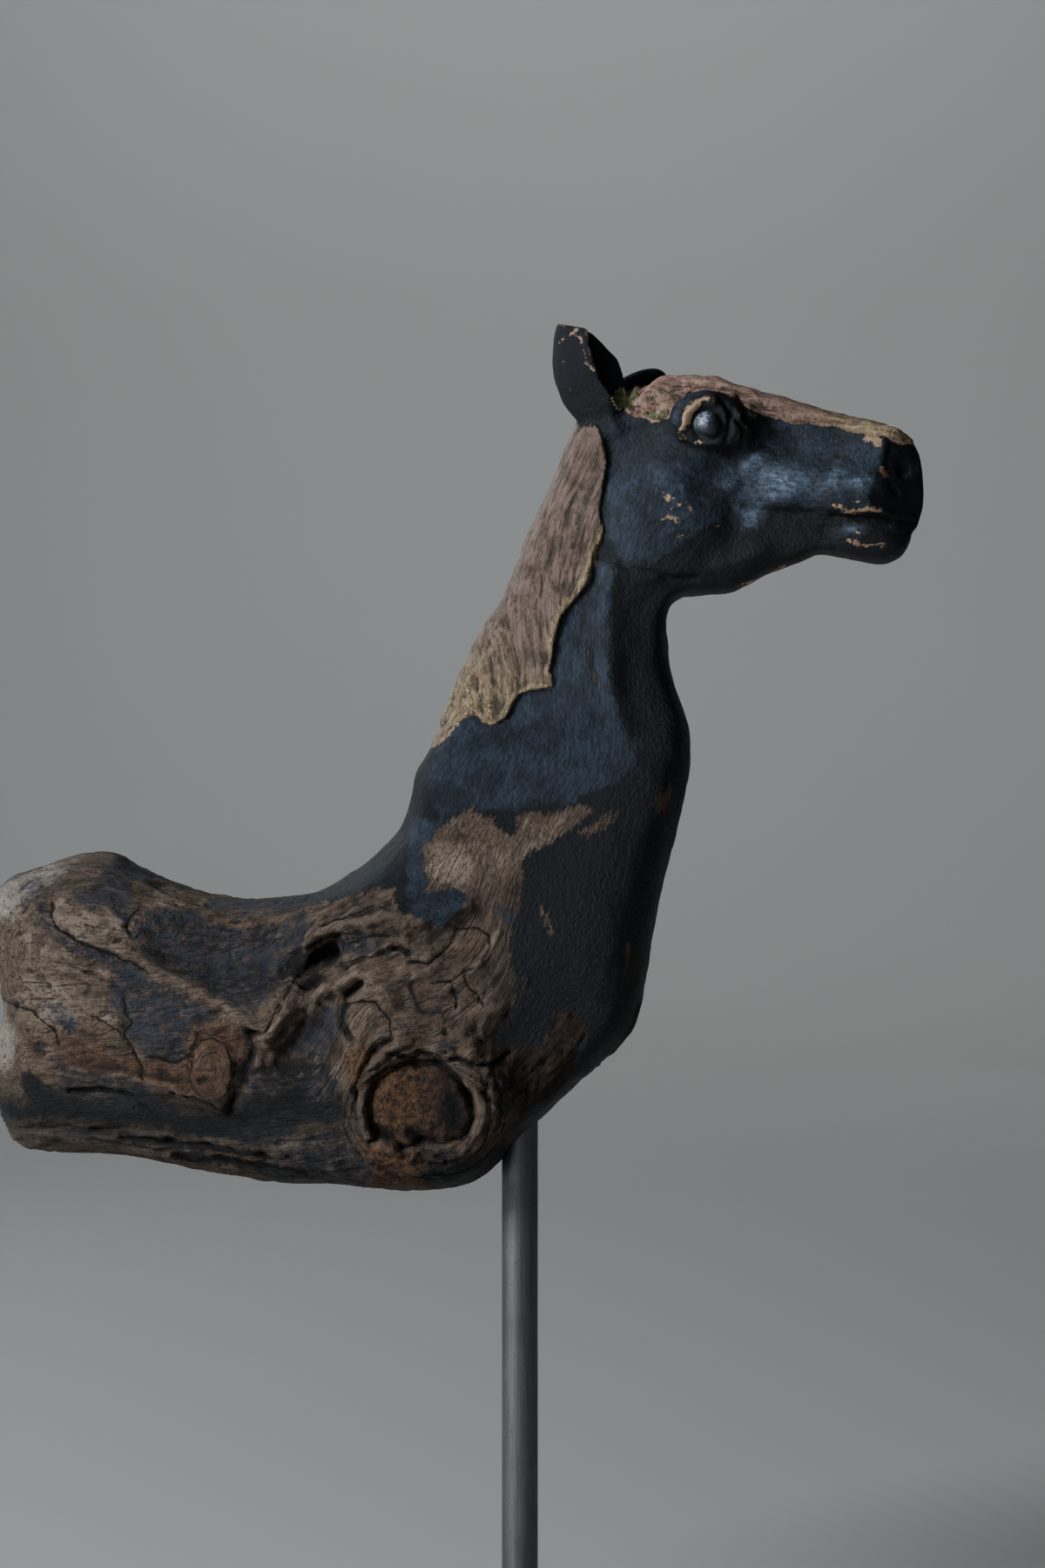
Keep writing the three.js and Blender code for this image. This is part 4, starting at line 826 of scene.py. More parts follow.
def untangle(field):
    """Where opposite corners of a net square are in and the others out, moves one corner out."""
    for _ in range(4):
        tangled = 0
        for u, v in ((0, 1), (1, 2), (2, 0)):
            low = [slice(None)] * 3
            corners = []
            for du, dv in ((0, 0), (1, 0), (1, 1), (0, 1)):
                part = list(low)
                part[u] = slice(1, None) if du else slice(None, -1)
                part[v] = slice(1, None) if dv else slice(None, -1)
                corners.append(field[tuple(part)])
            a, b, c, d = (corner < 0 for corner in corners)
            for first, second, other, fourth in ((a, c, b, d), (b, d, a, c)):
                crossed = first & second & ~other & ~fourth
                tangled += int(crossed.sum())
                target = corners[0] if first is a else corners[1]
                target[crossed] = 0.02
        if not tangled:
            return


def draw_net(field, stops):
    """One vertex in each net cell that the surface crosses, and a quad for each crossed edge."""
    inside = field < 0
    shape = np.array(field.shape)
    corners = [(c & 1, (c >> 1) & 1, (c >> 2) & 1) for c in range(8)]
    count = np.zeros(shape - 1, np.uint8)
    for i, j, k in corners:
        count += inside[i : shape[0] - 1 + i, j : shape[1] - 1 + j, k : shape[2] - 1 + k]
    cells = np.argwhere((count > 0) & (count < 8))
    values = np.stack([field[tuple((cells + c).T)] for c in corners], 1)
    points = np.zeros((len(cells), 3))
    crossings = np.zeros(len(cells))
    for axis in range(3):
        for c, corner in enumerate(corners):
            if corner[axis]:
                continue
            a = values[:, c]
            b = values[:, c + (1 << axis)]
            crossed = (a < 0) != (b < 0)
            t = np.where(crossed, a / np.where(crossed, a - b, 1), 0)
            start = cells + corner
            for d in range(3):
                low = stops[d][start[:, d]]
                if d == axis:
                    low = low + t * (stops[d][start[:, d] + 1] - low)
                points[:, d] += np.where(crossed, low, 0)
            crossings += crossed
    points /= crossings[:, None]
    index = np.full(shape - 1, -1, np.int32)
    index[tuple(cells.T)] = np.arange(len(cells))
    quads = []
    for axis in range(3):
        near = [slice(None)] * 3
        ahead = [slice(None)] * 3
        near[axis] = slice(None, -1)
        ahead[axis] = slice(1, None)
        edges = np.argwhere(inside[tuple(near)] != inside[tuple(ahead)])
        u = np.eye(3, dtype=int)[(axis + 1) % 3]
        v = np.eye(3, dtype=int)[(axis + 2) % 3]
        ring = [index[tuple((edges - shift).T)] for shift in (u + v, v, 0 * u, u)]
        quad = np.stack(ring, 1)
        rises = inside[tuple(edges.T)]
        quad[~rises] = quad[~rises][:, ::-1]
        quads.append(quad)
    return points, np.concatenate(quads)


def vertex_mean(values, edges, count):
    """The mean of each vertex's neighbours."""
    total = np.zeros((count, values.shape[1]))
    for d in range(values.shape[1]):
        total[:, d] = np.bincount(edges[:, 0], values[edges[:, 1], d], count)
        total[:, d] += np.bincount(edges[:, 1], values[edges[:, 0], d], count)
    degree = np.bincount(edges.ravel(), minlength=count)
    return total / np.maximum(degree, 1)[:, None]


def quad_edges(quads):
    """Each edge of the quads once."""
    pairs = np.concatenate([quads[:, [k, (k + 1) % 4]] for k in range(4)])
    return np.unique(np.sort(pairs, 1), axis=0)


def even_out(points, edges, rounds):
    """Takes the net's stairs out of the surface without shrinking it."""
    for _ in range(rounds):
        for pull in (0.5, -0.52):
            points = points + pull * (vertex_mean(points, edges, len(points)) - points)
    return points


def vertex_normals(points, quads):
    """Outward directions at the vertices."""
    across = points[quads[:, 2]] - points[quads[:, 0]]
    along = points[quads[:, 3]] - points[quads[:, 1]]
    faces = np.cross(across, along)
    normals = np.zeros_like(points)
    for k in range(4):
        for d in range(3):
            normals[:, d] += np.bincount(quads[:, k], faces[:, d], len(points))
    return normals / np.maximum(np.linalg.norm(normals, axis=1), 1e-12)[:, None]


def mesh_from(name, points, faces):
    """A mesh of these points and quads, in metres."""
    mesh = bpy.data.meshes.new(name)
    mesh.vertices.add(len(points))
    mesh.vertices.foreach_set("co", (points * MM).astype(np.float32).ravel())
    mesh.loops.add(faces.size)
    mesh.loops.foreach_set("vertex_index", faces.astype(np.int32).ravel())
    mesh.polygons.add(len(faces))
    mesh.polygons.foreach_set("loop_start", np.arange(0, faces.size, faces.shape[1], dtype=np.int32))
    mesh.update(calc_edges=True)
    mesh.validate()
    return mesh


def add_piece(name, mesh):
    """Puts a mesh in the scene as a piece of its own."""
    piece = bpy.data.objects.new(name, mesh)
    bpy.context.scene.collection.objects.link(piece)
    return piece


def nearby(x, z, line, reach):
    """Which points lie in a line's own box, widened by a reach."""
    line = np.array(line, float)
    low = line.min(0) - reach
    high = line.max(0) + reach
    return np.flatnonzero((x > low[0]) & (x < high[0]) & (z > low[1]) & (z < high[1]))


def patch_depth(x, z, loops, reach=6.0):
    """How deep each point is inside any of several closed lines, held within a reach."""
    best = np.full(x.shape, -reach)
    for loop in loops:
        pick = nearby(x, z, loop, reach)
        best[pick] = np.maximum(best[pick], depth_inside(x[pick], z[pick], loop))
    return np.minimum(best, reach)


def stroke_depth(x, z, strokes, reach=4.0):
    """How deep each point is inside any of several strokes, given as half width and line."""
    best = np.full(x.shape, -reach)
    for half_width, line in strokes:
        pick = nearby(x, z, line, reach + half_width)
        best[pick] = np.maximum(best[pick], half_width - line_distance(x[pick], z[pick], line)[0])
    return best


def stroke_offset(x, z, lines, reach=3.0):
    """Distance to the nearest of several lines, negative on one side of it."""
    best = np.full(x.shape, reach)
    for line in lines:
        pick = nearby(x, z, line, reach)
        distance, side = line_distance(x[pick], z[pick], line)
        nearer = distance < np.abs(best[pick])
        best[pick] = np.where(nearer, distance * side, best[pick])
    return best


def fitted_height(slope_x, slope_z, step):
    """The surface over a rectangle whose slopes come nearest to these."""
    mean_x = slope_x.mean()
    mean_z = slope_z.mean()
    spread = np.gradient(slope_x - mean_x, step, axis=0) + np.gradient(slope_z - mean_z, step, axis=1)
    doubled = np.block([[spread, spread[:, ::-1]], [spread[::-1], spread[::-1, ::-1]]])
    turns_x = 2 * np.pi * np.fft.fftfreq(doubled.shape[0], step)[:, None]
    turns_z = 2 * np.pi * np.fft.fftfreq(doubled.shape[1], step)[None, :]
    power = turns_x**2 + turns_z**2
    power[0, 0] = 1
    values = np.real(np.fft.ifft2(-np.fft.fft2(doubled) / power))
    values = values[: slope_x.shape[0], : slope_x.shape[1]]
    along_x = np.arange(slope_x.shape[0])[:, None] * step * mean_x
    along_z = np.arange(slope_x.shape[1])[None, :] * step * mean_z
    return values + along_x + along_z


class Grain:
    """Coordinates that follow the grain: along it, across it and into the wood."""

    def __init__(self):
        self.plan = Plan(*GRAIN_REACH, GRAIN_STEP)
        x, z = self.plan.x, self.plan.z
        places = [
            (px, pz, math.cos(math.radians(angle)), math.sin(math.radians(angle)), reach)
            for px, pz, angle, reach in GRAIN
        ]
        run_x, run_z = blend_places(x, z, places, 2, 2)
        length = np.hypot(run_x, run_z) + 1e-6
        run_x = run_x / length
        run_z = run_z / length
        self.along = fitted_height(run_x, run_z, self.plan.step)
        self.across = fitted_height(-run_z, run_x, self.plan.step)

    def at(self, points):
        x, y, z = points.T
        along = self.plan.read(self.along, x, z)
        across = self.plan.read(self.across, x, z)
        for cx, cz, long, high in KNOTS:
            radius = np.hypot((x - cx) / long, (z - cz) / high)
            ringed = (radius < 1) & (y < 6)
            mean = (long + high) / 2
            turn = np.arctan2(z - cz, x - cx)
            along = np.where(ringed, turn * mean * 0.8, along)
            across = np.where(ringed, radius * mean + 300, across)
        return np.stack([along, across, y], 1)


def wobble(points, seed, size, amount):
    """Moves points about by smooth noise."""
    moved = points.copy()
    for axis in (0, 2):
        moved[:, axis] += amount * value_noise(points / size, seed + axis)
    return moved


def surface_marks(points):
    """Where each colour lies: how deep each point is inside it, in millimetres."""
    ragged = wobble(wobble(points, 11, 5, 0.9), 21, 1.8, 0.45)
    x, _, z = ragged.T
    marks = {
        "paint": np.minimum(patch_depth(x, z, [PAINT]), -patch_depth(x, z, RUBBED)),
        "dull": patch_depth(x, z, DULL_AND_LIT),
        "sheen": stroke_depth(x, z, SHEEN.values()),
        "slate": patch_depth(x, z, SLATE),
        "warm": patch_depth(x, z, WARM),
        "pale": patch_depth(x, z, PALE),
        "bleached": patch_depth(x, z, BLEACHED),
        "dark": stroke_depth(x, z, PAINTED_SHADE.values()),
        "copper": np.minimum(patch_depth(x, z, [MANE_EDGE, FOREHEAD]), ears_gap(points) - 0.8),
        "moss": patch_depth(x, z, MOSS),
    }
    x, _, z = wobble(points, 31, 3, 0.7).T
    cracks = [(half_width * 0.42, line) for half_width, rise, line in FURROWS.values() if rise < 0]
    marks["crack"] = stroke_depth(x, z, cracks)
    marks["crack_side"] = stroke_offset(x, z, [line for _, line in cracks])
    marks["gold"] = stroke_depth(x, z, GOLD.values())
    marks["eye"] = EYE_RADIUS - 0.6 - np.hypot(points[:, 0] - EYE[0], points[:, 2] - EYE[1])
    far = far_marks(points)
    share = smooth((points[:, 1] + 4) / 10)
    for name, values in far.items():
        marks[name] = marks[name] * (1 - share) + values * share
    return marks


def ears_gap(points):
    """Distance to the nearer ear."""
    return np.minimum(*(ear_field(*points.T, ear) for ear in EARS))


def far_marks(points):
    """The far side's own patches, which leave out what only the near side has."""
    ragged = wobble(wobble(points, 41, 16, 6), 51, 4, 1.2)
    x, _, z = ragged.T
    worn = layered_noise(points / 22, 61)
    stain = layered_noise(points / 17, 71)
    broken_end = 9 * smooth((x + 172) / 16)
    none = np.full(len(points), -4.0)
    paint = np.minimum(patch_depth(x, z, [PAINT]), 7 - 14 * np.maximum(worn - 0.15, 0) / 0.4)
    return {
        "paint": np.where(points[:, 2] > 325, patch_depth(x, z, [PAINT]), paint),
        "slate": np.clip(9 * (stain - 0.12), -6, 6),
        "warm": np.clip(9 * (worn - 0.4), -6, 6),
        "pale": np.clip(-9 * (worn + 0.25), -6, 6),
        "bleached": np.clip(9 * (layered_noise(points / 19, 65) - 0.25), -6, 6) - broken_end,
        "dark": np.clip(8 * (layered_noise(points / 13, 81) - 0.75), -4, 4),
        "crack": none,
        "gold": none,
        "moss": none,
    }


def carved_relief(points, normals, grain, marks, crack_depth, ledge_height):
    """How far each point stands out for cracks, ledges, pits, strands, folds and knife marks."""
    near = smooth((-normals[:, 1] - 0.02) / 0.4)
    sides = smooth((np.abs(normals[:, 1]) - 0.1) / 0.4)
    along, across, depth = grain.T
    x, _, z = wobble(points, 31, 3, 0.7).T
    uneven = 0.8 + 0.75 * value_noise(points / 6, 91)
    rise = np.zeros(len(points))
    for half_width, height, line in FURROWS.values():
        pick = nearby(x, z, line, half_width * 3)
        distance = line_distance(x[pick], z[pick], line)[0]
        shape = np.exp(-((distance / half_width) ** 2)) * min(1, half_width)
        rise[pick] += crack_depth * height * shape * (uneven * near)[pick]
    for half_width, height, line in FACE_FURROWS.values():
        pick = nearby(x, z, line, half_width * 3)
        distance = line_distance(x[pick], z[pick], line)[0]
        rise[pick] += height * np.exp(-((distance / half_width) ** 2)) * sides[pick]

    bare = smooth((1.5 - marks["paint"]) / 3) * smooth((340 - points[:, 2]) / 20)
    steps = 2.6 * layered_noise(np.stack([along / 50, across / 9, depth / 11], 1), 101, 2)
    landing = np.floor(steps) + smooth((steps - np.floor(steps) - 0.72) / 0.28)
    fibres = layered_noise(np.stack([along / 17, across / 2.1, depth / 2.1], 1), 111, 2)
    lumps = layered_noise(points / 7.5, 121, 3)
    pits = smooth((value_noise(points / 2.4, 131) - 0.62) / 0.2)
    calm = smooth(marks["slate"] / 2) * 0.6 + smooth((points[:, 2] - 264) / 10) * smooth((x + 44) / 8)
    cx, cz, radius, wide, _ = KNOT_RING
    from_knot = np.hypot(x - cx, z - cz)
    calm = np.clip(calm + smooth((radius - 3 - from_knot) / 4), 0, 1) * 0.8
    calm -= 0.7 * np.exp(-(((from_knot - radius) / wide) ** 2))
    rise += bare * (1 - calm) * (
        ledge_height * (landing - steps) + 0.34 * fibres + 0.45 * lumps - 0.5 * pits
    )
    crumbs = np.maximum(layered_noise(points / 2.5, 132, 2), -0.7)
    for cx, cz, reach, height in CRUMBLING:
        here = np.exp(-(((x - cx) ** 2 + ((z - cz) * max(1, reach / 20)) ** 2) / reach**2) ** 2)
        rise += bare * near * height * here * crumbs

    knife = 0.32 * value_noise(points / 7, 141) + 0.16 * value_noise(points / 3, 142)
    fur = value_noise(np.stack([along / 5, across / 1.6, depth / 1.6], 1), 143)
    shoulder = smooth((345 - points[:, 2]) / 30)
    rise += (1 - bare) * (knife + 0.1 * shoulder * fur)

    mane = depth_inside(points[:, 0], points[:, 2], MANE_EDGE)
    strand = across / 2.1 + 1.3 * value_noise(np.stack([along / 8, across / 4, depth / 6], 1), 151)
    lock = across / 8 + 0.9 * value_noise(np.stack([along / 16, across / 9, depth / 12], 1), 152)
    coarse = 1 + 1.9 * smooth((372 - points[:, 2]) / 30)
    hair = 0.22 * (np.abs(np.sin(np.pi * strand)) - 0.6) * (1 + 0.9 * value_noise(points / 5, 153))
    hair = coarse * (hair + 0.42 * (np.abs(np.sin(np.pi * lock)) - 0.6)) + 0.4 * lumps
    lip = np.exp(-(((mane - 2.6 - 1.2 * value_noise(points / 4, 154)) / 0.7) ** 2))
    low_edge = smooth((392 - points[:, 2]) / 14) * (0.6 + 0.6 * value_noise(points / 7, 155))
    rise += smooth((mane - 0.1) / 0.8) * (hair - 0.7 * lip * sides * low_edge)

    forehead = smooth(marks["copper"] / 1.5) * smooth((points[:, 0] - 33) / 3)
    rough_top = 0.4 + 1.2 * smooth((60 - points[:, 0]) / 14)
    folds = np.abs(layered_noise(points / (6.5, 3.4, 3.4), 161, 2))
    rise += forehead * (rough_top * (1.5 * folds - 0.6) + 0.15)

    crumpled = np.exp(-(((points[:, 0] - 73) / 6.5) ** 2 + ((points[:, 2] - 430) / 7.5) ** 2))
    rise += 1.2 * crumpled * layered_noise(points / 2.4, 171, 2) * sides

    ex, ez = EYE
    reach = np.hypot(points[:, 0] - ex, points[:, 2] - ez)
    ball = EYE_BULGE * (np.sqrt(np.maximum(EYE_RADIUS**2 - reach**2, 0)) - EYE_RADIUS) + EYE_RISE
    socket = -SOCKET_DEPTH * (1 - smooth((reach - EYE_RADIUS) / 1.4))
    round_eye = np.where(reach < EYE_RADIUS, np.maximum(ball, -SOCKET_DEPTH), socket)
    rise = np.where(reach < EYE_RADIUS, round_eye, rise + round_eye)
    return rise * smooth((points[:, 2] - 160) / 10)


def lighten(piece, triangles):
    """Takes triangles out of a mesh where it is flat, down to this many."""
    modifier = piece.modifiers.new("lighten", "DECIMATE")
    modifier.ratio = min(1, triangles / (2 * len(piece.data.polygons)))
    bake_modifiers(piece)


def bake_modifiers(piece):
    """Turns a piece with modifiers into a plain mesh."""
    depsgraph = bpy.context.evaluated_depsgraph_get()
    mesh = bpy.data.meshes.new_from_object(piece.evaluated_get(depsgraph))
    old = piece.data
    piece.modifiers.clear()
    piece.data = mesh
    mesh.name = piece.name
    bpy.data.meshes.remove(old)


def read_vectors(items, name, count):
    """A mesh's own vectors as an array."""
    values = np.empty(count * 3, np.float32)
    items.foreach_get(name, values)
    return values.reshape(-1, 3).astype(float)


def hollowness(mesh, points, normals):
    """How far each point lies below the smoothed surface round it."""
    edges = np.empty(len(mesh.edges) * 2, np.int32)
    mesh.edges.foreach_get("vertices", edges)
    edges = edges.reshape(-1, 2)
    smoothed = points
    for _ in range(7):
        smoothed = vertex_mean(smoothed, edges, len(points))
    return ((smoothed - points) * normals).sum(1)


def store_marks(mesh, grain_of):
    """Keeps the colour depths, the hollowness and the grain on a mesh's points."""
    points = read_vectors(mesh.vertices, "co", len(mesh.vertices)) / MM
    normals = read_vectors(mesh.vertices, "normal", len(mesh.vertices))
    values = surface_marks(points)
    values["hollow"] = hollowness(mesh, points, normals)
    for name, numbers in values.items():
        layer = mesh.attributes.new(name, "FLOAT", "POINT")
        layer.data.foreach_set("value", numbers.astype(np.float32))
    layer = mesh.attributes.new("grain", "FLOAT_VECTOR", "POINT")
    layer.data.foreach_set("vector", grain_of.at(points).astype(np.float32).ravel())


def build_wood_mesh(settings):
    """The whole carved log as a mesh in metres, with its colours marked on its points."""
    step = settings.net_step / MM * 1
    form = WoodForm(FORM_STEP)
    head_x, head_z = HEAD_START
    xs = net_stops([(NET_LOW[0], head_x, step), (head_x, NET_HIGH[0], step * HEAD_FINER)])
    rows = net_stops([(NET_LOW[1], NET_HIGH[1], step * ROWS_FINER)])
    zs = net_stops([(NET_LOW[2], head_z, step), (head_z, NET_HIGH[2], step * HEAD_FINER)])
    field = form.field(xs, rows, zs, widening)
    carve_head(field, xs, rows, zs)
    bore_rod_hole(field, xs, rows, zs)
    untangle(field)
    points, quads = draw_net(field, [xs, rows, zs])
    points[:, 1] *= widening(points[:, 2])
    points = even_out(points, quad_edges(quads), 3)
    grain_of = Grain()
    normals = vertex_normals(points, quads)
    rise = carved_relief(
        points, normals, grain_of.at(points), surface_marks(points),
        settings.crack_depth, settings.ledge_height / MM,
    )
    points = points + normals * rise[:, None]
    print("wood net", len(points), len(quads))
    return mesh_from(WOOD, points, quads), grain_of


class Tree:
    """Adds nodes to a node tree, in rows, and joins them up."""

    def __init__(self, tree):
        self.tree = tree
        self.count = 0

    def add(self, kind, inputs=None, **settings):
        node = self.tree.nodes.new(kind)
        node.location = (self.count % 10 * 200, self.count // 10 * -320)
        self.count += 1
        for name, value in settings.items():
            setattr(node, name, value)
        for name, value in (inputs or {}).items():
            self.plug(node.inputs[name], value)
        return node

    def plug(self, socket, value):
        if isinstance(value, bpy.types.NodeSocket):
            self.tree.links.new(value, socket)
        elif isinstance(value, tuple) and socket.type == "RGBA" and len(value) == 3:
            socket.default_value = (*value, 1)
        else:
            socket.default_value = value

    def math(self, operation, a, b=0.0, clamp=False):
        return self.add("ShaderNodeMath", {0: a, 1: b}, operation=operation, use_clamp=clamp).outputs[0]

    def times(self, a, b):
        return self.math("MULTIPLY", a, b)

    def minus(self, a, b):
        return self.math("SUBTRACT", a, b)

    def larger(self, a, b):
        return self.math("MAXIMUM", a, b)

    def times_plus(self, a, b, c):
        return self.add("ShaderNodeMath", {0: a, 1: b, 2: c}, operation="MULTIPLY_ADD").outputs[0]

    def stretch(self, vector, scale):
        node = self.add("ShaderNodeVectorMath", {0: vector, 1: scale}, operation="MULTIPLY")
        return node.outputs[0]

    def noise(self, vector, detail=2.0, roughness=0.5):
        inputs = {"Vector": vector, "Scale": 1.0, "Detail": detail, "Roughness": roughness}
        return self.add("ShaderNodeTexNoise", inputs).outputs[0]

    def even_noise(self, vector, scale, detail=2.0, roughness=0.5):
        return self.noise(self.stretch(vector, (scale, scale, scale)), detail, roughness)

    def long_noise(self, vector, along, across, detail=2.0, roughness=0.5):
        return self.noise(self.stretch(vector, (along, across, across)), detail, roughness)

    def blend(self, factor, a, b):
        return self.add("ShaderNodeMix", {0: factor, 2: a, 3: b}, data_type="FLOAT").outputs[0]

    def bump(self, height, strength, distance):
        inputs = {"Height": height, "Strength": strength, "Distance": distance}
        return self.add("ShaderNodeBump", inputs).outputs[0]

    def tint(self, factor, a, b, blend="MIX"):
        node = self.add("ShaderNodeMix", {0: factor, 6: a, 7: b}, data_type="RGBA", blend_type=blend)
        return node.outputs[2]

    def ease(self, value, low, high, start=0.0, end=1.0):
        inputs = {"Value": value, "From Min": low, "From Max": high, "To Min": start, "To Max": end}
        return self.add("ShaderNodeMapRange", inputs, interpolation_type="SMOOTHSTEP").outputs[0]

    def mark(self, name):
        return self.add("ShaderNodeAttribute", attribute_name=name).outputs["Fac"]

    def group(self, tree, **inputs):
        node = self.add("ShaderNodeGroup", node_tree=tree)
        for name, value in inputs.items():
            self.plug(node.inputs[name.replace("_", " ")], value)
        return node.outputs


class Group(Tree):
    """A node group with named inputs and outputs."""

    def __init__(self, name, inputs, outputs, kind_of_tree="ShaderNodeTree"):
        super().__init__(bpy.data.node_groups.new(name, kind_of_tree))
        self.values = {}
        for label, kind, value in inputs:
            socket = self.tree.interface.new_socket(name=label, in_out="INPUT", socket_type=kind)
            if value is not None:
                socket.default_value = value
                self.values[socket.identifier] = value
        for label, kind in outputs:
            self.tree.interface.new_socket(name=label, in_out="OUTPUT", socket_type=kind)
        self.given = self.add("NodeGroupInput").outputs
        self.result = self.add("NodeGroupOutput").inputs

    def give(self, **outputs):
        for name, value in outputs.items():
            self.plug(self.result[name], value)
        return self.tree


NUMBER = "NodeSocketFloat"
COLOR = "NodeSocketColor"
VECTOR = "NodeSocketVector"
GEOMETRY = "NodeSocketGeometry"
SURFACE = [("Grain", VECTOR, None), ("Position", VECTOR, None), ("Hollow", NUMBER, 0)]


def ragged_edge_group():
    """Turns a depth inside a patch into a mask whose edge is broken up by noise."""
    group = Group(
        "Ragged edge",
        [("Depth", NUMBER, 0), ("Position", VECTOR, None), ("Jag", NUMBER, 0.8),
         ("Size", NUMBER, 1.2), ("Soft", NUMBER, 0.12)],
        [("Mask", NUMBER)],
    )
    size = group.math("DIVIDE", 1.0, group.given["Size"])
    node = group.add("ShaderNodeVectorMath", {0: group.given["Position"], "Scale": size}, operation="SCALE")
    noise = group.noise(node.outputs[0], 5, 0.62)
    shift = group.times(group.minus(noise, 0.5), group.given["Jag"])
    depth = group.times_plus(shift, 3.0, group.given["Depth"])
    low = group.times(group.given["Soft"], -1.0)
    return group.give(Mask=group.ease(depth, low, group.given["Soft"]))


def bare_wood_group():
    """Weathered wood along its own grain: bands, fibres, pores and fine drying checks, with painted shade
    in hollows and under ledges and a painted highlight on raised places.
    """
    group = Group(
        "Bare wood",
        [*SURFACE, ("Warm", NUMBER, 0), ("Pale", NUMBER, 0), ("Bleached", NUMBER, 0), ("Rotten", NUMBER, 0),
         ("Light", COLOR, (0.5, 0.4, 0.31, 1)), ("Middle", COLOR, (0.3, 0.21, 0.15, 1)),
         ("Deep", COLOR, (0.045, 0.03, 0.022, 1)), ("Orange", COLOR, (0.33, 0.17, 0.1, 1)),
         ("White", COLOR, (0.38, 0.315, 0.26, 1))],
        [("Color", COLOR), ("Roughness", NUMBER), ("Height", NUMBER)],
    )
    given = group.given
    bands = group.long_noise(given["Grain"], 0.014, 0.16, 4, 0.6)
    fibres = group.long_noise(given["Grain"], 0.07, 0.85, 6, 0.74)
    hairs = group.long_noise(given["Grain"], 0.2, 2.4, 4, 0.65)
    blotch = group.even_noise(given["Position"], 0.1, 4, 0.6)
    pores = group.ease(group.long_noise(given["Grain"], 0.45, 1.6, 2), 0.64, 0.72)
    checks = group.long_noise(given["Grain"], 0.035, 0.42, 3, 0.55)
    checks = group.math("ABSOLUTE", group.minus(checks, 0.5))
    where = group.ease(group.even_noise(given["Position"], 0.16, 2), 0.5, 0.6)
    checks = group.times(group.ease(checks, 0.004, 0.011, 1, 0), where)
    grit = group.even_noise(given["Position"], 0.8, 4, 0.7)
    crumbs = group.even_noise(given["Position"], 0.5, 6, 0.75)
    layers = group.long_noise(given["Grain"], 0.022, 0.2, 4, 0.55)
    layers = group.math("FRACT", group.times(layers, 6.5))
    brink = group.ease(layers, 0.8, 1)
    # Painted shadow: a dark line at the foot of each ledge along the grain, darkened with the pores
    foot = group.times(group.ease(layers, 0.82, 0.97), group.ease(blotch, 0.36, 0.6, 0.15, 0.8))
    tone = group.times_plus(blotch, 0.45, group.times(group.math("ADD", fibres, bands), 0.275))
    tone = group.times_plus(given["Pale"], 0.09, tone)
    darker = group.tint(group.ease(tone, 0.37, 0.5), given["Deep"], given["Middle"])
    lighter = group.ease(tone, 0.5, 0.7)
    color = group.tint(lighter, darker, given["Light"])
    rust = group.times(given["Warm"], group.ease(blotch, 0.3, 0.65, 0.35, 0.9))
    shade = group.tint(lighter, (0.7, 0.6, 0.6), (1.35, 1.4, 1.4))
    color = group.tint(rust, color, group.tint(1.0, given["Orange"], shade, "MULTIPLY"))
    white = group.times(given["Bleached"], group.ease(fibres, 0.3, 0.6, 0.7, 1))
    color = group.tint(white, color, given["White"])
    fine = group.times_plus(hairs, 0.65, group.times(grit, 0.35))
    color = group.tint(group.ease(fine, 0.52, 0.38, 0, 0.75), color, given["Deep"])
    color = group.tint(group.ease(fine, 0.52, 0.66, 0, 0.3), color, given["Light"])
    # Painted shade in the hollows, and a painted highlight on the raised places
    color = group.tint(group.ease(given["Hollow"], 0.02, 0.55, 0, 0.85), color, WOOD_HOLLOW_SHADE)
    color = group.tint(group.ease(given["Hollow"], -0.15, -0.6, 0, 0.25), color, given["Light"])
    crumbly = group.times(given["Rotten"], group.ease(crumbs, 0.43, 0.6, 0, 0.85))
    color = group.tint(crumbly, color, ROTTEN_CRUMBS)
    marks = group.larger(checks, group.times(pores, 0.6))
    marks = group.larger(marks, foot)
    marks = group.larger(marks, group.times(given["Rotten"], group.ease(crumbs, 0.47, 0.36)))
    color = group.tint(group.times(marks, 0.85), color, WOOD_PORES_AND_SHADOW)
    height = group.times_plus(fine, 1.2, fibres)
    height = group.times_plus(group.minus(layers, brink), 0.5, height)
    height = group.times_plus(crumbs, group.times_plus(given["Rotten"], 3.5, 1.0), height)
    height = group.times_plus(marks, -0.5, height)
    return group.give(Color=color, Roughness=group.ease(fibres, 0.3, 0.7, 0.78, 0.92), Height=height)


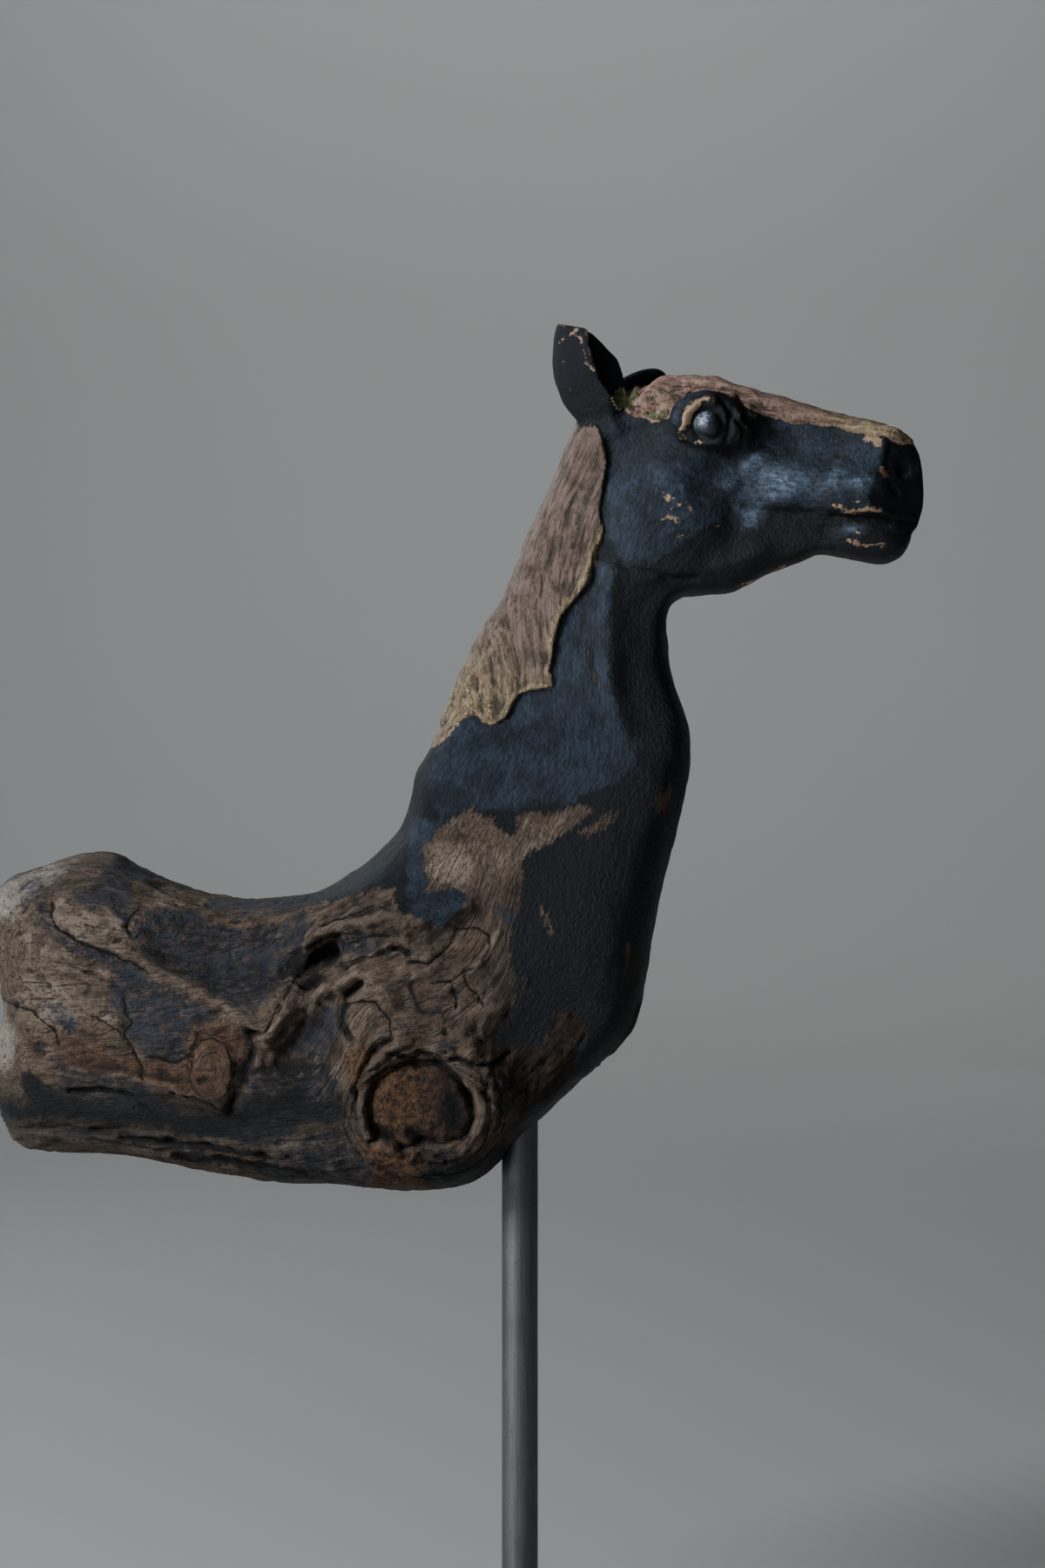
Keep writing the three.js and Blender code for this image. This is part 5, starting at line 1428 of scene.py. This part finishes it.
def paint_group():
    """Old brushed paint over carved wood, rubbed through on its high places, with painted shade in its
    hollows and a pale blue painted sheen where it is marked dull and lit.
    """
    group = Group(
        "Rubbed paint",
        [*SURFACE, ("Fur", NUMBER, 0), ("Dull", NUMBER, 0), ("Paint", COLOR, (0.006, 0.007, 0.01, 1)),
         ("Dust", COLOR, (0.04, 0.05, 0.07, 1)), ("Under", COLOR, (0.14, 0.085, 0.055, 1)),
         ("Wear", NUMBER, 0.5)],
        [("Color", COLOR), ("Roughness", NUMBER), ("Height", NUMBER)],
    )
    given = group.given
    strokes = group.long_noise(given["Grain"], 0.5, 0.95, 5, 0.7)
    patches = group.even_noise(given["Position"], 0.09, 5, 0.65)
    grit = group.even_noise(given["Position"], 0.7, 5, 0.7)
    # Paler blue where the paint is dull, and as a painted sheen where it is marked lit
    dusty_sheen = group.times(group.ease(patches, 0.36, 0.64, 0.25, 0.9), group.ease(strokes, 0.4, 0.6, 0.35, 1))
    color = group.tint(group.times(dusty_sheen, given["Dull"]), given["Paint"], given["Dust"])
    raised = group.times(given["Hollow"], -1.0)
    raised = group.math("ADD", raised, group.times(group.minus(grit, 0.5), 0.5))
    limit = group.minus(0.72, group.times(given["Wear"], 0.3))
    worn = group.ease(group.minus(raised, limit), 0, 0.1)
    color = group.tint(worn, color, given["Under"])
    # Painted shade in the hollows
    color = group.tint(group.ease(given["Hollow"], 0.05, 0.5, 0, 0.7), color, PAINT_HOLLOW_SHADE)
    rough = group.ease(grit, 0.3, 0.7, 0.42, 0.6)
    brushed = group.times(strokes, group.times_plus(given["Fur"], 0.5, 0.25))
    height = group.times_plus(grit, group.times_plus(given["Fur"], 0.7, 0.7), brushed)
    return group.give(Color=color, Roughness=rough, Height=height)


def copper_group():
    """Metal paint, rose to gold, with grime, painted shade in its hollows and between its strands, and
    painted glints on its specks and strand crests.
    """
    group = Group(
        "Metal paint",
        [*SURFACE, ("Gilt", NUMBER, 0),
         ("Rose", COLOR, (0.42, 0.28, 0.235, 1)), ("Pale", COLOR, (0.36, 0.25, 0.2, 1)),
         ("Gold", COLOR, (0.6, 0.42, 0.2, 1)), ("Grime", COLOR, (0.055, 0.048, 0.03, 1))],
        [("Color", COLOR), ("Metallic", NUMBER), ("Roughness", NUMBER), ("Height", NUMBER)],
    )
    given = group.given
    strands = group.long_noise(given["Grain"], 0.13, 0.7, 6, 0.75)
    patches = group.even_noise(given["Position"], 0.16, 5, 0.65)
    specks = group.even_noise(given["Position"], 0.8, 5, 0.7)
    color = group.tint(group.ease(strands, 0.38, 0.6), given["Rose"], given["Pale"])
    gilt = group.times(given["Gilt"], group.ease(patches, 0.3, 0.6, 0.35, 1))
    color = group.tint(gilt, color, given["Gold"])
    color = group.tint(group.ease(patches, 0.56, 0.4, 0, 0.45), color, given["Grime"])
    # Grime in specks, and painted shade in the hollows and between the strands
    grime_and_shade = group.ease(given["Hollow"], 0.0, 0.4, 0, 0.85)
    grime_and_shade = group.math("ADD", grime_and_shade, group.ease(specks, 0.52, 0.66, 0, 0.6), True)
    grime_and_shade = group.larger(grime_and_shade, group.ease(strands, 0.47, 0.38, 0, 0.9))
    color = group.tint(grime_and_shade, color, given["Grime"])
    # Painted glints of gold on raised specks and on the crests of the gilt strands
    glint = group.times(group.ease(specks, 0.5, 0.62), group.ease(given["Hollow"], -0.02, -0.3))
    glint = group.times(glint, group.times_plus(given["Gilt"], 0.7, 0.25))
    crest = group.times(given["Gilt"], group.ease(strands, 0.53, 0.64, 0, 0.8))
    color = group.tint(group.larger(glint, crest), color, GLINT_GOLD)
    metal = group.times(group.minus(1.0, grime_and_shade), 0.35)
    height = group.times_plus(strands, 1.4, specks)
    rough = group.ease(specks, 0.3, 0.7, 0.4, 0.6)
    return group.give(Color=color, Metallic=metal, Roughness=rough, Height=height)


def position_in_mm(tree):
    """Object coordinates in millimetres."""
    coordinates = tree.add("ShaderNodeTexCoord").outputs["Object"]
    return tree.stretch(coordinates, (1000, 1000, 1000))


def new_material(name):
    """A material with nodes: its tree and its shader."""
    material = bpy.data.materials.new(name)
    material.use_nodes = True
    material.node_tree.nodes.clear()
    tree = Tree(material.node_tree)
    shader = tree.add("ShaderNodeBsdfPrincipled")
    output = tree.add("ShaderNodeOutputMaterial")
    tree.plug(output.inputs["Surface"], shader.outputs[0])
    return material, tree, shader.inputs


def painted_wood_material(wood, paint):
    """Bare wood, slate remains, black paint, metal paint, gold edges and the glossy eye, with painted
    shade, sheen and highlights.
    """
    material, tree, shader = new_material("painted driftwood")
    position = position_in_mm(tree)
    grain = tree.add("ShaderNodeAttribute", attribute_name="grain").outputs["Vector"]
    hollow = tree.mark("hollow")
    ragged = ragged_edge_group()

    def mask(name, jag, size, soft):
        depth = tree.mark(name)
        return tree.group(ragged, Depth=depth, Position=position, Jag=jag, Size=size, Soft=soft)[0]

    split = tree.add("ShaderNodeSeparateXYZ", {0: position}).outputs
    forward = split["X"]
    up = split["Z"]
    warm = mask("warm", 2.4, 5, 2.2)
    rotten = tree.times(warm, tree.ease(forward, -75, -60, 0.15, 1))
    bare = tree.group(
        bare_wood_group(), Grain=grain, Position=position, Hollow=hollow, Warm=warm, Rotten=rotten,
        Pale=mask("pale", 2.4, 5, 2.4), Bleached=mask("bleached", 2, 4, 2.2),
        Light=tuple(wood.light_color), Middle=tuple(wood.middle_color), Orange=tuple(wood.orange_color),
    )
    color = bare["Color"]
    rough = bare["Roughness"]
    height = bare["Height"]

    fibre_break = tree.long_noise(grain, 0.12, 1.3, 4, 0.7)
    # Painted shade: darker at the log's lower right, in a band low on the log and over the right of the
    # knot's core
    shade = tree.times(tree.ease(forward, -16, 6), tree.ease(up, 262, 240))
    band = tree.times(tree.ease(up, 214, 206), tree.ease(up, 193, 199, 0.4, 1))
    band = tree.times(band, tree.ease(forward, -48, -58, 0.1, 1))
    core = tree.times(rotten, tree.ease(forward, -38, -22))
    shade = tree.larger(shade, tree.larger(band, core))
    color = tree.tint(tree.times(shade, 0.75), color, WOOD_SHADE)

    slate_depth = tree.times_plus(tree.minus(fibre_break, 0.5), 4.5, tree.mark("slate"))
    slate = tree.group(ragged, Depth=slate_depth, Position=position, Jag=2.2, Size=2.6, Soft=1.3)[0]
    worn = tree.ease(hollow, -0.15, -0.6, 1, 0.35)
    slate = tree.times(slate, worn)
    slate_tone = tree.even_noise(position, 0.12, 6, 0.7)
    # Painted shade: the paler slate shows only higher up, so the slate is darker towards the log's foot
    high = tree.ease(up, 208, 232, 0.05, 1)
    slate_tone = tree.times(tree.ease(slate_tone, 0.36, 0.62), high)
    slate_color = tree.tint(slate_tone, tuple(wood.slate_color), PALE_SLATE)
    # Painted shade in the slate's hollows
    slate_color = tree.tint(tree.ease(hollow, 0.05, 0.5, 0, 0.85), slate_color, SLATE_HOLLOW_SHADE)
    mottle = tree.even_noise(position, 0.35, 6, 0.75)
    mottle = tree.times_plus(fibre_break, 0.4, tree.times(mottle, 0.6))
    showing = tree.times(slate, tree.ease(mottle, 0.6, 0.46, 0.3, 1))
    color = tree.tint(showing, color, slate_color)
    rough = tree.blend(slate, rough, 0.58)

    fur = tree.ease(up, 350, 322)
    # Painted sheen: paler blue paint over the dull planes that face the light, palest along the sheen
    # strokes
    sheen = mask("sheen", 2, 2.5, 3)
    dull = tree.larger(mask("dull", 2, 3, 1), sheen)
    dust_and_sheen = tree.tint(sheen, tuple(paint.dust_and_sheen_color), SHEEN_BLUE)
    black = tree.group(
        paint_group(), Grain=grain, Position=position, Hollow=hollow, Fur=fur, Dull=dull,
        Paint=tuple(paint.paint_color), Dust=dust_and_sheen, Wear=paint.wear,
    )
    brush_break = tree.minus(tree.long_noise(grain, 0.2, 1.1, 3, 0.6), 0.5)
    paint_depth = tree.times_plus(brush_break, 5.0, tree.mark("paint"))
    painted = tree.group(ragged, Depth=paint_depth, Position=position, Jag=1.1, Size=1.1, Soft=0.7)[0]
    color = tree.tint(painted, color, black["Color"])
    rough = tree.blend(painted, rough, black["Roughness"])
    height = tree.blend(painted, height, black["Height"])
    ear = tree.times(tree.ease(forward, 37, 33), tree.ease(up, 434, 442))
    rough = tree.blend(ear, rough, 0.7)

    # Painted shade drawn black, with the far side's dark patches
    dark = mask("dark", 2.2, 2.4, 1.6)
    color = tree.tint(tree.times(dark, 0.93), color, SHADE_AND_DARK_BLACK)
    jag = tree.minus(tree.even_noise(position, 0.7, 4, 0.7), 0.5)
    aside = tree.math("ABSOLUTE", tree.times_plus(jag, 2.0, tree.mark("crack_side")))
    crack = tree.times(tree.ease(aside, 0.08, 0.34, 1, 0), tree.ease(tree.mark("crack"), -1.5, -0.9))
    color = tree.tint(tree.times(crack, 0.94), color, CRACK_BLACK)
    height = tree.times_plus(crack, -1.2, height)

    low_mane = tree.times(tree.ease(up, 372, 330), tree.ease(forward, 14, -14))
    gilt = tree.larger(low_mane, tree.ease(forward, 88, 112))
    rim = tree.times(tree.ease(tree.mark("copper"), 3.4, 1.8, 0, 0.8), tree.ease(up, 398, 384))
    gilt = tree.larger(gilt, rim)
    # Painted light: the metal paint drawn brighter over the forehead and down the nose
    front = tree.times(tree.ease(forward, 30, 36), tree.ease(forward, 62, 92, 1, 0.5))
    metal_paint = tree.group(
        copper_group(), Grain=grain, Position=position, Hollow=hollow, Gilt=gilt,
        Rose=tree.tint(front, tuple(paint.copper_color), LIT_FRONT_ROSE),
        Pale=tree.tint(front, MANE_PALE, LIT_FRONT_PALE),
        Gold=tree.tint(front, tuple(paint.gold_color), LIT_FRONT_GOLD),
    )
    copper = mask("copper", 0.6, 1.1, 0.2)
    color = tree.tint(copper, color, metal_paint["Color"])
    rough = tree.blend(copper, rough, metal_paint["Roughness"])
    height = tree.blend(copper, height, metal_paint["Height"])
    metallic = tree.times(copper, metal_paint["Metallic"])

    gold = mask("gold", 1.2, 1.3, 0.25)
    color = tree.tint(gold, color, EDGE_GOLD)
    metallic = tree.blend(gold, metallic, 0.5)
    rough = tree.blend(gold, rough, 0.42)

    eye = mask("eye", 0.05, 1.0, 0.2)
    # Painted highlight on the eye's upper left
    eye_highlight = tree.times(tree.ease(up, 426.5, 430.5), tree.ease(forward, 64, 59.5))
    eye_highlight = tree.times(eye_highlight, tree.ease(jag, -0.1, 0.1))
    color = tree.tint(eye, color, tree.tint(eye_highlight, EYE_GLASS, EYE_PAINTED_HIGHLIGHT))
    metallic = tree.blend(eye, metallic, 0.0)
    rough = tree.blend(eye, rough, 0.24)
    height = tree.blend(tree.times(eye, 0.75), height, 0.4)

    bump = tree.bump(height, 1.0, 0.0009)
    shader["Specular IOR Level"].default_value = 0.33
    shader["Coat Roughness"].default_value = 0.35
    tree.plug(shader["Coat Weight"], eye)
    tree.plug(shader["Base Color"], color)
    tree.plug(shader["Roughness"], rough)
    tree.plug(shader["Metallic"], metallic)
    tree.plug(shader["Normal"], bump)
    return material


def steel_material(name, color, rust, streak):
    """Dark mill steel with a drawn or rolled grain, dull patches and small rust pits."""
    material, tree, shader = new_material(name)
    position = position_in_mm(tree)
    drawn = tree.noise(tree.stretch(position, streak), 4, 0.6)
    cloud = tree.even_noise(position, 0.05, 4, 0.6)
    specks = tree.noise(tree.stretch(position, (0.9, 0.9, 0.6)), 3, 0.6)
    pits = tree.ease(specks, 0.66, 0.72)
    bloom = tree.times(tree.ease(cloud, 0.45, 0.75), tree.ease(specks, 0.4, 0.6, 0.3, 0.9))
    lighter = tuple(min(1, c * 1.25) for c in color)
    base = tree.tint(tree.ease(drawn, 0.35, 0.65), tuple(color), lighter)
    base = tree.tint(tree.times(bloom, 0.6), base, STEEL_BLOOM)
    base = tree.tint(pits, base, tuple(rust))
    tree.plug(shader["Base Color"], base)
    tree.plug(shader["Metallic"], tree.minus(0.9, tree.larger(pits, tree.times(bloom, 0.5))))
    tree.plug(shader["Roughness"], tree.ease(cloud, 0.3, 0.7, 0.36, 0.56))
    height = tree.minus(tree.times(drawn, 0.1), pits)
    tree.plug(shader["Normal"], tree.bump(height, 0.7, 0.0002))
    return material


def moss_material(color):
    """Dry moss, from its settings' green to a paler tip."""
    material, tree, shader = new_material("dry moss")
    position = position_in_mm(tree)
    tone = tree.even_noise(position, 0.8, 4, 0.6)
    paler = tuple(min(1, c * 2.1) for c in color)
    tree.plug(shader["Base Color"], tree.tint(tree.ease(tone, 0.35, 0.65), tuple(color), paler))
    shader["Roughness"].default_value = 0.95
    tree.plug(shader["Normal"], tree.bump(tone, 0.8, 0.0003))
    return material


def plain_material(name, color, roughness):
    """The floor's finish: a plain colour with a faint unevenness."""
    material, tree, shader = new_material(name)
    position = tree.add("ShaderNodeTexCoord").outputs["Object"]
    tone = tree.even_noise(position, 3, 3, 0.5)
    darker = tuple(c * 0.96 for c in color)
    tree.plug(shader["Base Color"], tree.tint(tone, tuple(color), darker))
    shader["Roughness"].default_value = roughness
    return material


class Scatter(Group):
    """A Geometry Nodes tree with named inputs, used as a modifier."""

    def __init__(self, name, inputs):
        inputs = [("Geometry", GEOMETRY, None), *inputs]
        super().__init__(name, inputs, [("Geometry", GEOMETRY)], "GeometryNodeTree")

    def finish(self, instances, material):
        real = self.add("GeometryNodeRealizeInstances", {0: instances})
        painted = self.add("GeometryNodeSetMaterial", {"Geometry": real.outputs[0], "Material": material})
        self.plug(self.result[0], painted.outputs[0])

    def apply_to(self, piece):
        modifier = piece.modifiers.new(self.tree.name, "NODES")
        modifier.node_group = self.tree
        for identifier, value in self.values.items():
            modifier[identifier] = value
        bake_modifiers(piece)


def moss_tree(settings, material):
    """Small crumbs of moss over the piece's faces."""
    scatter = Scatter(
        "Moss crumbs",
        [("Density", NUMBER, settings.density), ("Size", NUMBER, settings.crumb_size),
         ("Seed", "NodeSocketInt", settings.seed)],
    )
    given = scatter.given
    spots = scatter.add(
        "GeometryNodeDistributePointsOnFaces",
        {"Mesh": given["Geometry"], "Density": given["Density"], "Seed": given["Seed"]},
    )
    crumb = scatter.add("GeometryNodeMeshIcoSphere", {"Radius": 1.0, "Subdivisions": 1})
    sizes = scatter.add(
        "FunctionNodeRandomValue", {2: 0.35, 3: 1.0, "Seed": given["Seed"]}, data_type="FLOAT"
    )
    scale = scatter.times(sizes.outputs[1], given["Size"])
    turn = scatter.add(
        "FunctionNodeRandomValue", {0: (0, 0, 0), 1: (6.28, 6.28, 6.28), "Seed": given["Seed"]},
        data_type="FLOAT_VECTOR",
    )
    crumbs = scatter.add(
        "GeometryNodeInstanceOnPoints",
        {"Points": spots.outputs[0], "Instance": crumb.outputs[0], "Rotation": turn.outputs[0],
         "Scale": scale},
    )
    scatter.finish(crumbs.outputs[0], material)
    return scatter


def weld_tree(settings, material):
    """A ring of overlapping puddles, as a stick weld leaves round a bar."""
    scatter = Scatter(
        "Weld ripples",
        [("Ripples", "NodeSocketInt", settings.ripples), ("Radius", NUMBER, WELD_RING[0] * MM),
         ("Thickness", NUMBER, settings.ripple_size), ("Height", NUMBER, WELD_RING[1] * MM)],
    )
    given = scatter.given
    ring = scatter.add("GeometryNodeMeshCircle", {"Vertices": given["Ripples"], "Radius": given["Radius"]})
    lifted = scatter.add("ShaderNodeCombineXYZ", {"Z": given["Height"]})
    ring = scatter.add(
        "GeometryNodeTransform", {"Geometry": ring.outputs[0], "Translation": lifted.outputs[0]}
    )
    puddle = scatter.add("GeometryNodeMeshUVSphere", {"Segments": 12, "Rings": 7, "Radius": 1.0})
    place = scatter.add("GeometryNodeInputPosition").outputs[0]
    apart = scatter.add("ShaderNodeSeparateXYZ", {0: place}).outputs
    angle = scatter.math("ARCTAN2", apart["Y"], apart["X"])
    tilt = scatter.add("ShaderNodeCombineXYZ", {"Y": 0.55, "Z": angle})
    wide = scatter.times(given["Thickness"], 0.55)
    size = scatter.add("ShaderNodeCombineXYZ", {"X": given["Thickness"], "Y": wide, "Z": wide})
    puddles = scatter.add(
        "GeometryNodeInstanceOnPoints",
        {"Points": ring.outputs[0], "Instance": puddle.outputs[0], "Rotation": tilt.outputs[0],
         "Scale": size.outputs[0]},
    )
    smooth_faces = scatter.add("GeometryNodeSetShadeSmooth", {0: puddles.outputs[0]})
    scatter.finish(smooth_faces.outputs[0], material)
    return scatter


def color_setting(name, description, default):
    """A colour among the settings."""
    return FloatVectorProperty(name=name, description=description, default=default, subtype="COLOR")


class WoodSettings(bpy.types.PropertyGroup):
    """Sizes and colours of the carved log."""

    net_step: FloatProperty(
        name="Net step", description="Distance between the net's lines over the log", default=0.0009,
        min=0.0005, max=0.003, precision=4, unit="LENGTH")
    triangles: IntProperty(
        name="Triangles", description="The most triangles that the wood may have", default=192000,
        min=20000)
    crack_depth: FloatProperty(
        name="Crack depth", description="Multiplies the depth of every crack and fibre", default=1.0,
        min=0, max=2)
    ledge_height: FloatProperty(
        name="Ledge height", description="Height of the worn steps along the grain", default=0.0009,
        precision=4, unit="LENGTH")
    light_color: color_setting("Light wood", "Colour of clean dry wood", (0.33, 0.245, 0.185))
    middle_color: color_setting("Brown wood", "Colour of weathered wood", (0.14, 0.092, 0.064))
    orange_color: color_setting("Warm wood", "Colour of the rusty brown bands", (0.18, 0.097, 0.056))
    slate_color: color_setting(
        "Slate remains", "Colour of old paint left on the log", (0.013, 0.013, 0.017))


class PaintSettings(bpy.types.PropertyGroup):
    """Colours and wear of the paint on the carving."""

    paint_color: color_setting("Black paint", "Colour of the paint in shade", (0.006, 0.0072, 0.01))
    dust_and_sheen_color: color_setting(
        "Dull paint", "Colour of the paint where it has dulled, and of its painted sheen on planes facing the light", (0.043, 0.059, 0.088))
    copper_color: color_setting("Copper paint", "Colour of the mane and the forehead", (0.19, 0.105, 0.083))
    gold_color: color_setting("Gold paint", "Colour of the gilt places", (0.36, 0.25, 0.14))
    wear: FloatProperty(
        name="Wear", description="How far edges are rubbed through", default=0.5, min=0, max=1)


class MossSettings(bpy.types.PropertyGroup):
    """Sizes and colour of the moss beside the near ear."""

    density: FloatProperty(
        name="Density", description="Crumbs on each square metre of wood", default=5.5e6, min=0)
    crumb_size: FloatProperty(
        name="Crumb size", description="Radius of the largest crumbs", default=0.0006, precision=4,
        unit="LENGTH")
    seed: IntProperty(name="Seed", description="Picks another arrangement", default=5)
    color: color_setting("Moss", "Colour of the moss", (0.1, 0.1, 0.05))


class SteelSettings(bpy.types.PropertyGroup):
    """Finishes of the rod and the plate, and the weld between them."""

    rod_color: color_setting("Rod steel", "Colour of the rod's steel", (0.15, 0.145, 0.152))
    plate_color: color_setting("Plate steel", "Colour of the plate's steel", (0.11, 0.107, 0.112))
    rust_color: color_setting("Rust", "Colour in the rust pits", (0.11, 0.05, 0.028))
    ripples: IntProperty(name="Ripples", description="Puddles round the weld", default=30, min=6)
    ripple_size: FloatProperty(
        name="Ripple size", description="Half the length of each puddle", default=0.0021, precision=4,
        unit="LENGTH")


class StageSettings(bpy.types.PropertyGroup):
    """Camera, floor and lights."""

    lens: FloatProperty(name="Lens", description="Focal length in millimetres", default=85, min=20)
    distance: FloatProperty(
        name="Distance", description="From the rod to the camera", default=1.2325, unit="LENGTH")
    eye_height: FloatProperty(
        name="Camera height", description="Height of the camera over the floor", default=0.311,
        unit="LENGTH")
    floor_color: color_setting("Floor", "Colour of the floor and the sweep behind", (0.57, 0.545, 0.51))
    light_color: color_setting("Light colour", "Colour of every light", (0.84, 0.93, 1))
    key_power: FloatProperty(
        name="Key light", description="Power of the main light", default=38, unit="POWER")
    window_power: FloatProperty(
        name="Window light", description="Power of the broad soft light in front", default=3, unit="POWER")
    rim_power: FloatProperty(
        name="Rim light", description="Power of the light behind", default=4, unit="POWER")
    backdrop_power: FloatProperty(
        name="Backdrop light", description="Power of the light on the sweep behind", default=22,
        unit="POWER")


class DRIFTWOOD_OT_wood(bpy.types.Operator):
    """Build the carved and painted driftwood"""

    bl_idname = "driftwood.wood"
    bl_label = "Build carved wood"

    def execute(self, context):
        wood = context.scene.driftwood_wood
        mesh, grain_of = build_wood_mesh(wood)
        piece = add_piece(WOOD, mesh)
        lighten(piece, wood.triangles / (1))
        piece.data.shade_smooth()
        store_marks(piece.data, grain_of)
        piece.data.materials.append(painted_wood_material(wood, context.scene.driftwood_paint))
        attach(piece, BODY)
        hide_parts("driftwood_horse")
        return {"FINISHED"}


class DRIFTWOOD_OT_moss(bpy.types.Operator):
    """Build the crumbs of moss beside the near ear"""

    bl_idname = "driftwood.moss"
    bl_label = "Build moss"

    def execute(self, context):
        wood = bpy.data.objects[WOOD].data
        depths = np.empty(len(wood.vertices), np.float32)
        wood.attributes["moss"].data.foreach_get("value", depths)
        bed = bmesh.new()
        bed.from_mesh(wood)
        bare = [face for face in bed.faces if min(depths[v.index] for v in face.verts) < 0.2]
        bmesh.ops.delete(bed, geom=bare, context="FACES")
        if not bed.faces:
            raise RuntimeError("The moss found no place to grow")
        mesh = bpy.data.meshes.new("ear_moss")
        bed.to_mesh(mesh)
        bed.free()
        piece = add_piece("ear_moss", mesh)
        settings = context.scene.driftwood_moss
        moss_tree(settings, moss_material(settings.color)).apply_to(piece)
        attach(piece, BODY)
        return {"FINISHED"}


class DRIFTWOOD_OT_steel(bpy.types.Operator):
    """Finish the rod and the plate, and lay the weld"""

    bl_idname = "driftwood.steel"
    bl_label = "Finish the steel"

    def execute(self, context):
        settings = context.scene.driftwood_steel
        rust = settings.rust_color
        rod_steel = steel_material("rod steel", settings.rod_color, rust, (1.6, 1.6, 0.05))
        plate_steel = steel_material("plate steel", settings.plate_color, rust, (0.05, 1.2, 1.2))
        for node, material in (("support_rod", rod_steel), ("base_plate", plate_steel)):
            for slot in bpy.data.objects[node].material_slots:
                slot.material = material
        mesh = bpy.data.meshes.new("weld_ripples")
        mesh.from_pydata([(0, 0, 0)], [], [])
        piece = add_piece("weld_ripples", mesh)
        weld_tree(settings, plate_steel).apply_to(piece)
        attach(piece, BODY)
        return {"FINISHED"}


def add_light(name, place, target, energy, size, color):
    """A square soft light that faces its target."""
    lamp = bpy.data.lights.new(name, "AREA")
    lamp.energy = energy
    lamp.size = size
    lamp.color = color
    light = bpy.data.objects.new(name, lamp)
    light.location = place
    light.rotation_euler = (Vector(target) - Vector(place)).to_track_quat("-Z", "Y").to_euler()
    bpy.context.scene.collection.objects.link(light)


def floor_mesh():
    """A floor that sweeps up into a plain wall behind."""
    half_width = 5
    depth = 3
    radius = 1
    steps = 16
    wall_top = 4
    profile = [(-half_width, 0)]
    for k in range(steps + 1):
        turn = math.pi / 2 * k / steps
        profile.append((depth + radius * math.sin(turn), radius * (1 - math.cos(turn))))
    profile.append((depth + radius, wall_top))
    points = [(x, y, z) for y, z in profile for x in (-half_width, half_width)]
    faces = [(2 * k, 2 * k + 1, 2 * k + 3, 2 * k + 2) for k in range(len(profile) - 1)]
    mesh = bpy.data.meshes.new("floor")
    mesh.from_pydata(points, [], faces)
    mesh.shade_smooth()
    return mesh


class DRIFTWOOD_OT_stage(bpy.types.Operator):
    """Set up the camera, the floor and the lights"""

    bl_idname = "driftwood.stage"
    bl_label = "Set the stage"

    def execute(self, context):
        settings = context.scene.driftwood_stage
        scene = context.scene
        camera = bpy.data.cameras.new("camera")
        camera.lens = settings.lens
        camera.sensor_fit = "VERTICAL"
        camera.sensor_height = 36
        holder = bpy.data.objects.new("camera", camera)
        holder.location = (CAMERA_X, -settings.distance, settings.eye_height)
        holder.rotation_euler = (math.pi / 2, 0, 0)
        scene.collection.objects.link(holder)
        scene.camera = holder
        floor = add_piece("floor", floor_mesh())
        floor.data.materials.append(plain_material("floor", settings.floor_color, 0.8))
        for name, (place, target, size) in LIGHTS.items():
            power = getattr(settings, name + "_power")
            add_light(name, place, target, power, size, settings.light_color)
        world = bpy.data.worlds.new("world")
        world.use_nodes = True
        background = world.node_tree.nodes["Background"].inputs
        background["Color"].default_value = WORLD_COLOR
        background["Strength"].default_value = WORLD_STRENGTH
        scene.world = world
        return {"FINISHED"}


class DRIFTWOOD_PT_panel(bpy.types.Panel):
    """Lists the pieces and their settings"""

    bl_idname = "DRIFTWOOD_PT_panel"
    bl_label = "Driftwood horse"
    bl_space_type = "VIEW_3D"
    bl_region_type = "UI"
    bl_category = "Driftwood horse"

    def draw(self, context):
        for name, (_, operators) in GROUPS.items():
            settings = getattr(context.scene, name)
            box = self.layout.box()
            for key in settings.__annotations__:
                box.prop(settings, key)
            for operator in operators:
                box.operator(operator.bl_idname)


# The scene's groups of settings, each with the operators that the panel lists under it
GROUPS = {
    "driftwood_wood": (WoodSettings, [DRIFTWOOD_OT_wood]),
    "driftwood_paint": (PaintSettings, []),
    "driftwood_moss": (MossSettings, [DRIFTWOOD_OT_moss]),
    "driftwood_steel": (SteelSettings, [DRIFTWOOD_OT_steel]),
    "driftwood_stage": (StageSettings, [DRIFTWOOD_OT_stage]),
}
CLASSES = [settings for settings, _ in GROUPS.values()]
CLASSES += [operator for _, operators in GROUPS.values() for operator in operators]
CLASSES.append(DRIFTWOOD_PT_panel)


def register():
    for item in CLASSES:
        bpy.utils.register_class(item)
    for name, (settings, _) in GROUPS.items():
        setattr(bpy.types.Scene, name, PointerProperty(type=settings))


def unregister():
    for name in GROUPS:
        delattr(bpy.types.Scene, name)
    for item in reversed(CLASSES):
        bpy.utils.unregister_class(item)


def main():
    register()
    bpy.ops.driftwood.stage()
    bpy.ops.driftwood.wood()
    bpy.ops.driftwood.moss()
    bpy.ops.driftwood.steel()


if __name__ == "__main__":
    main()
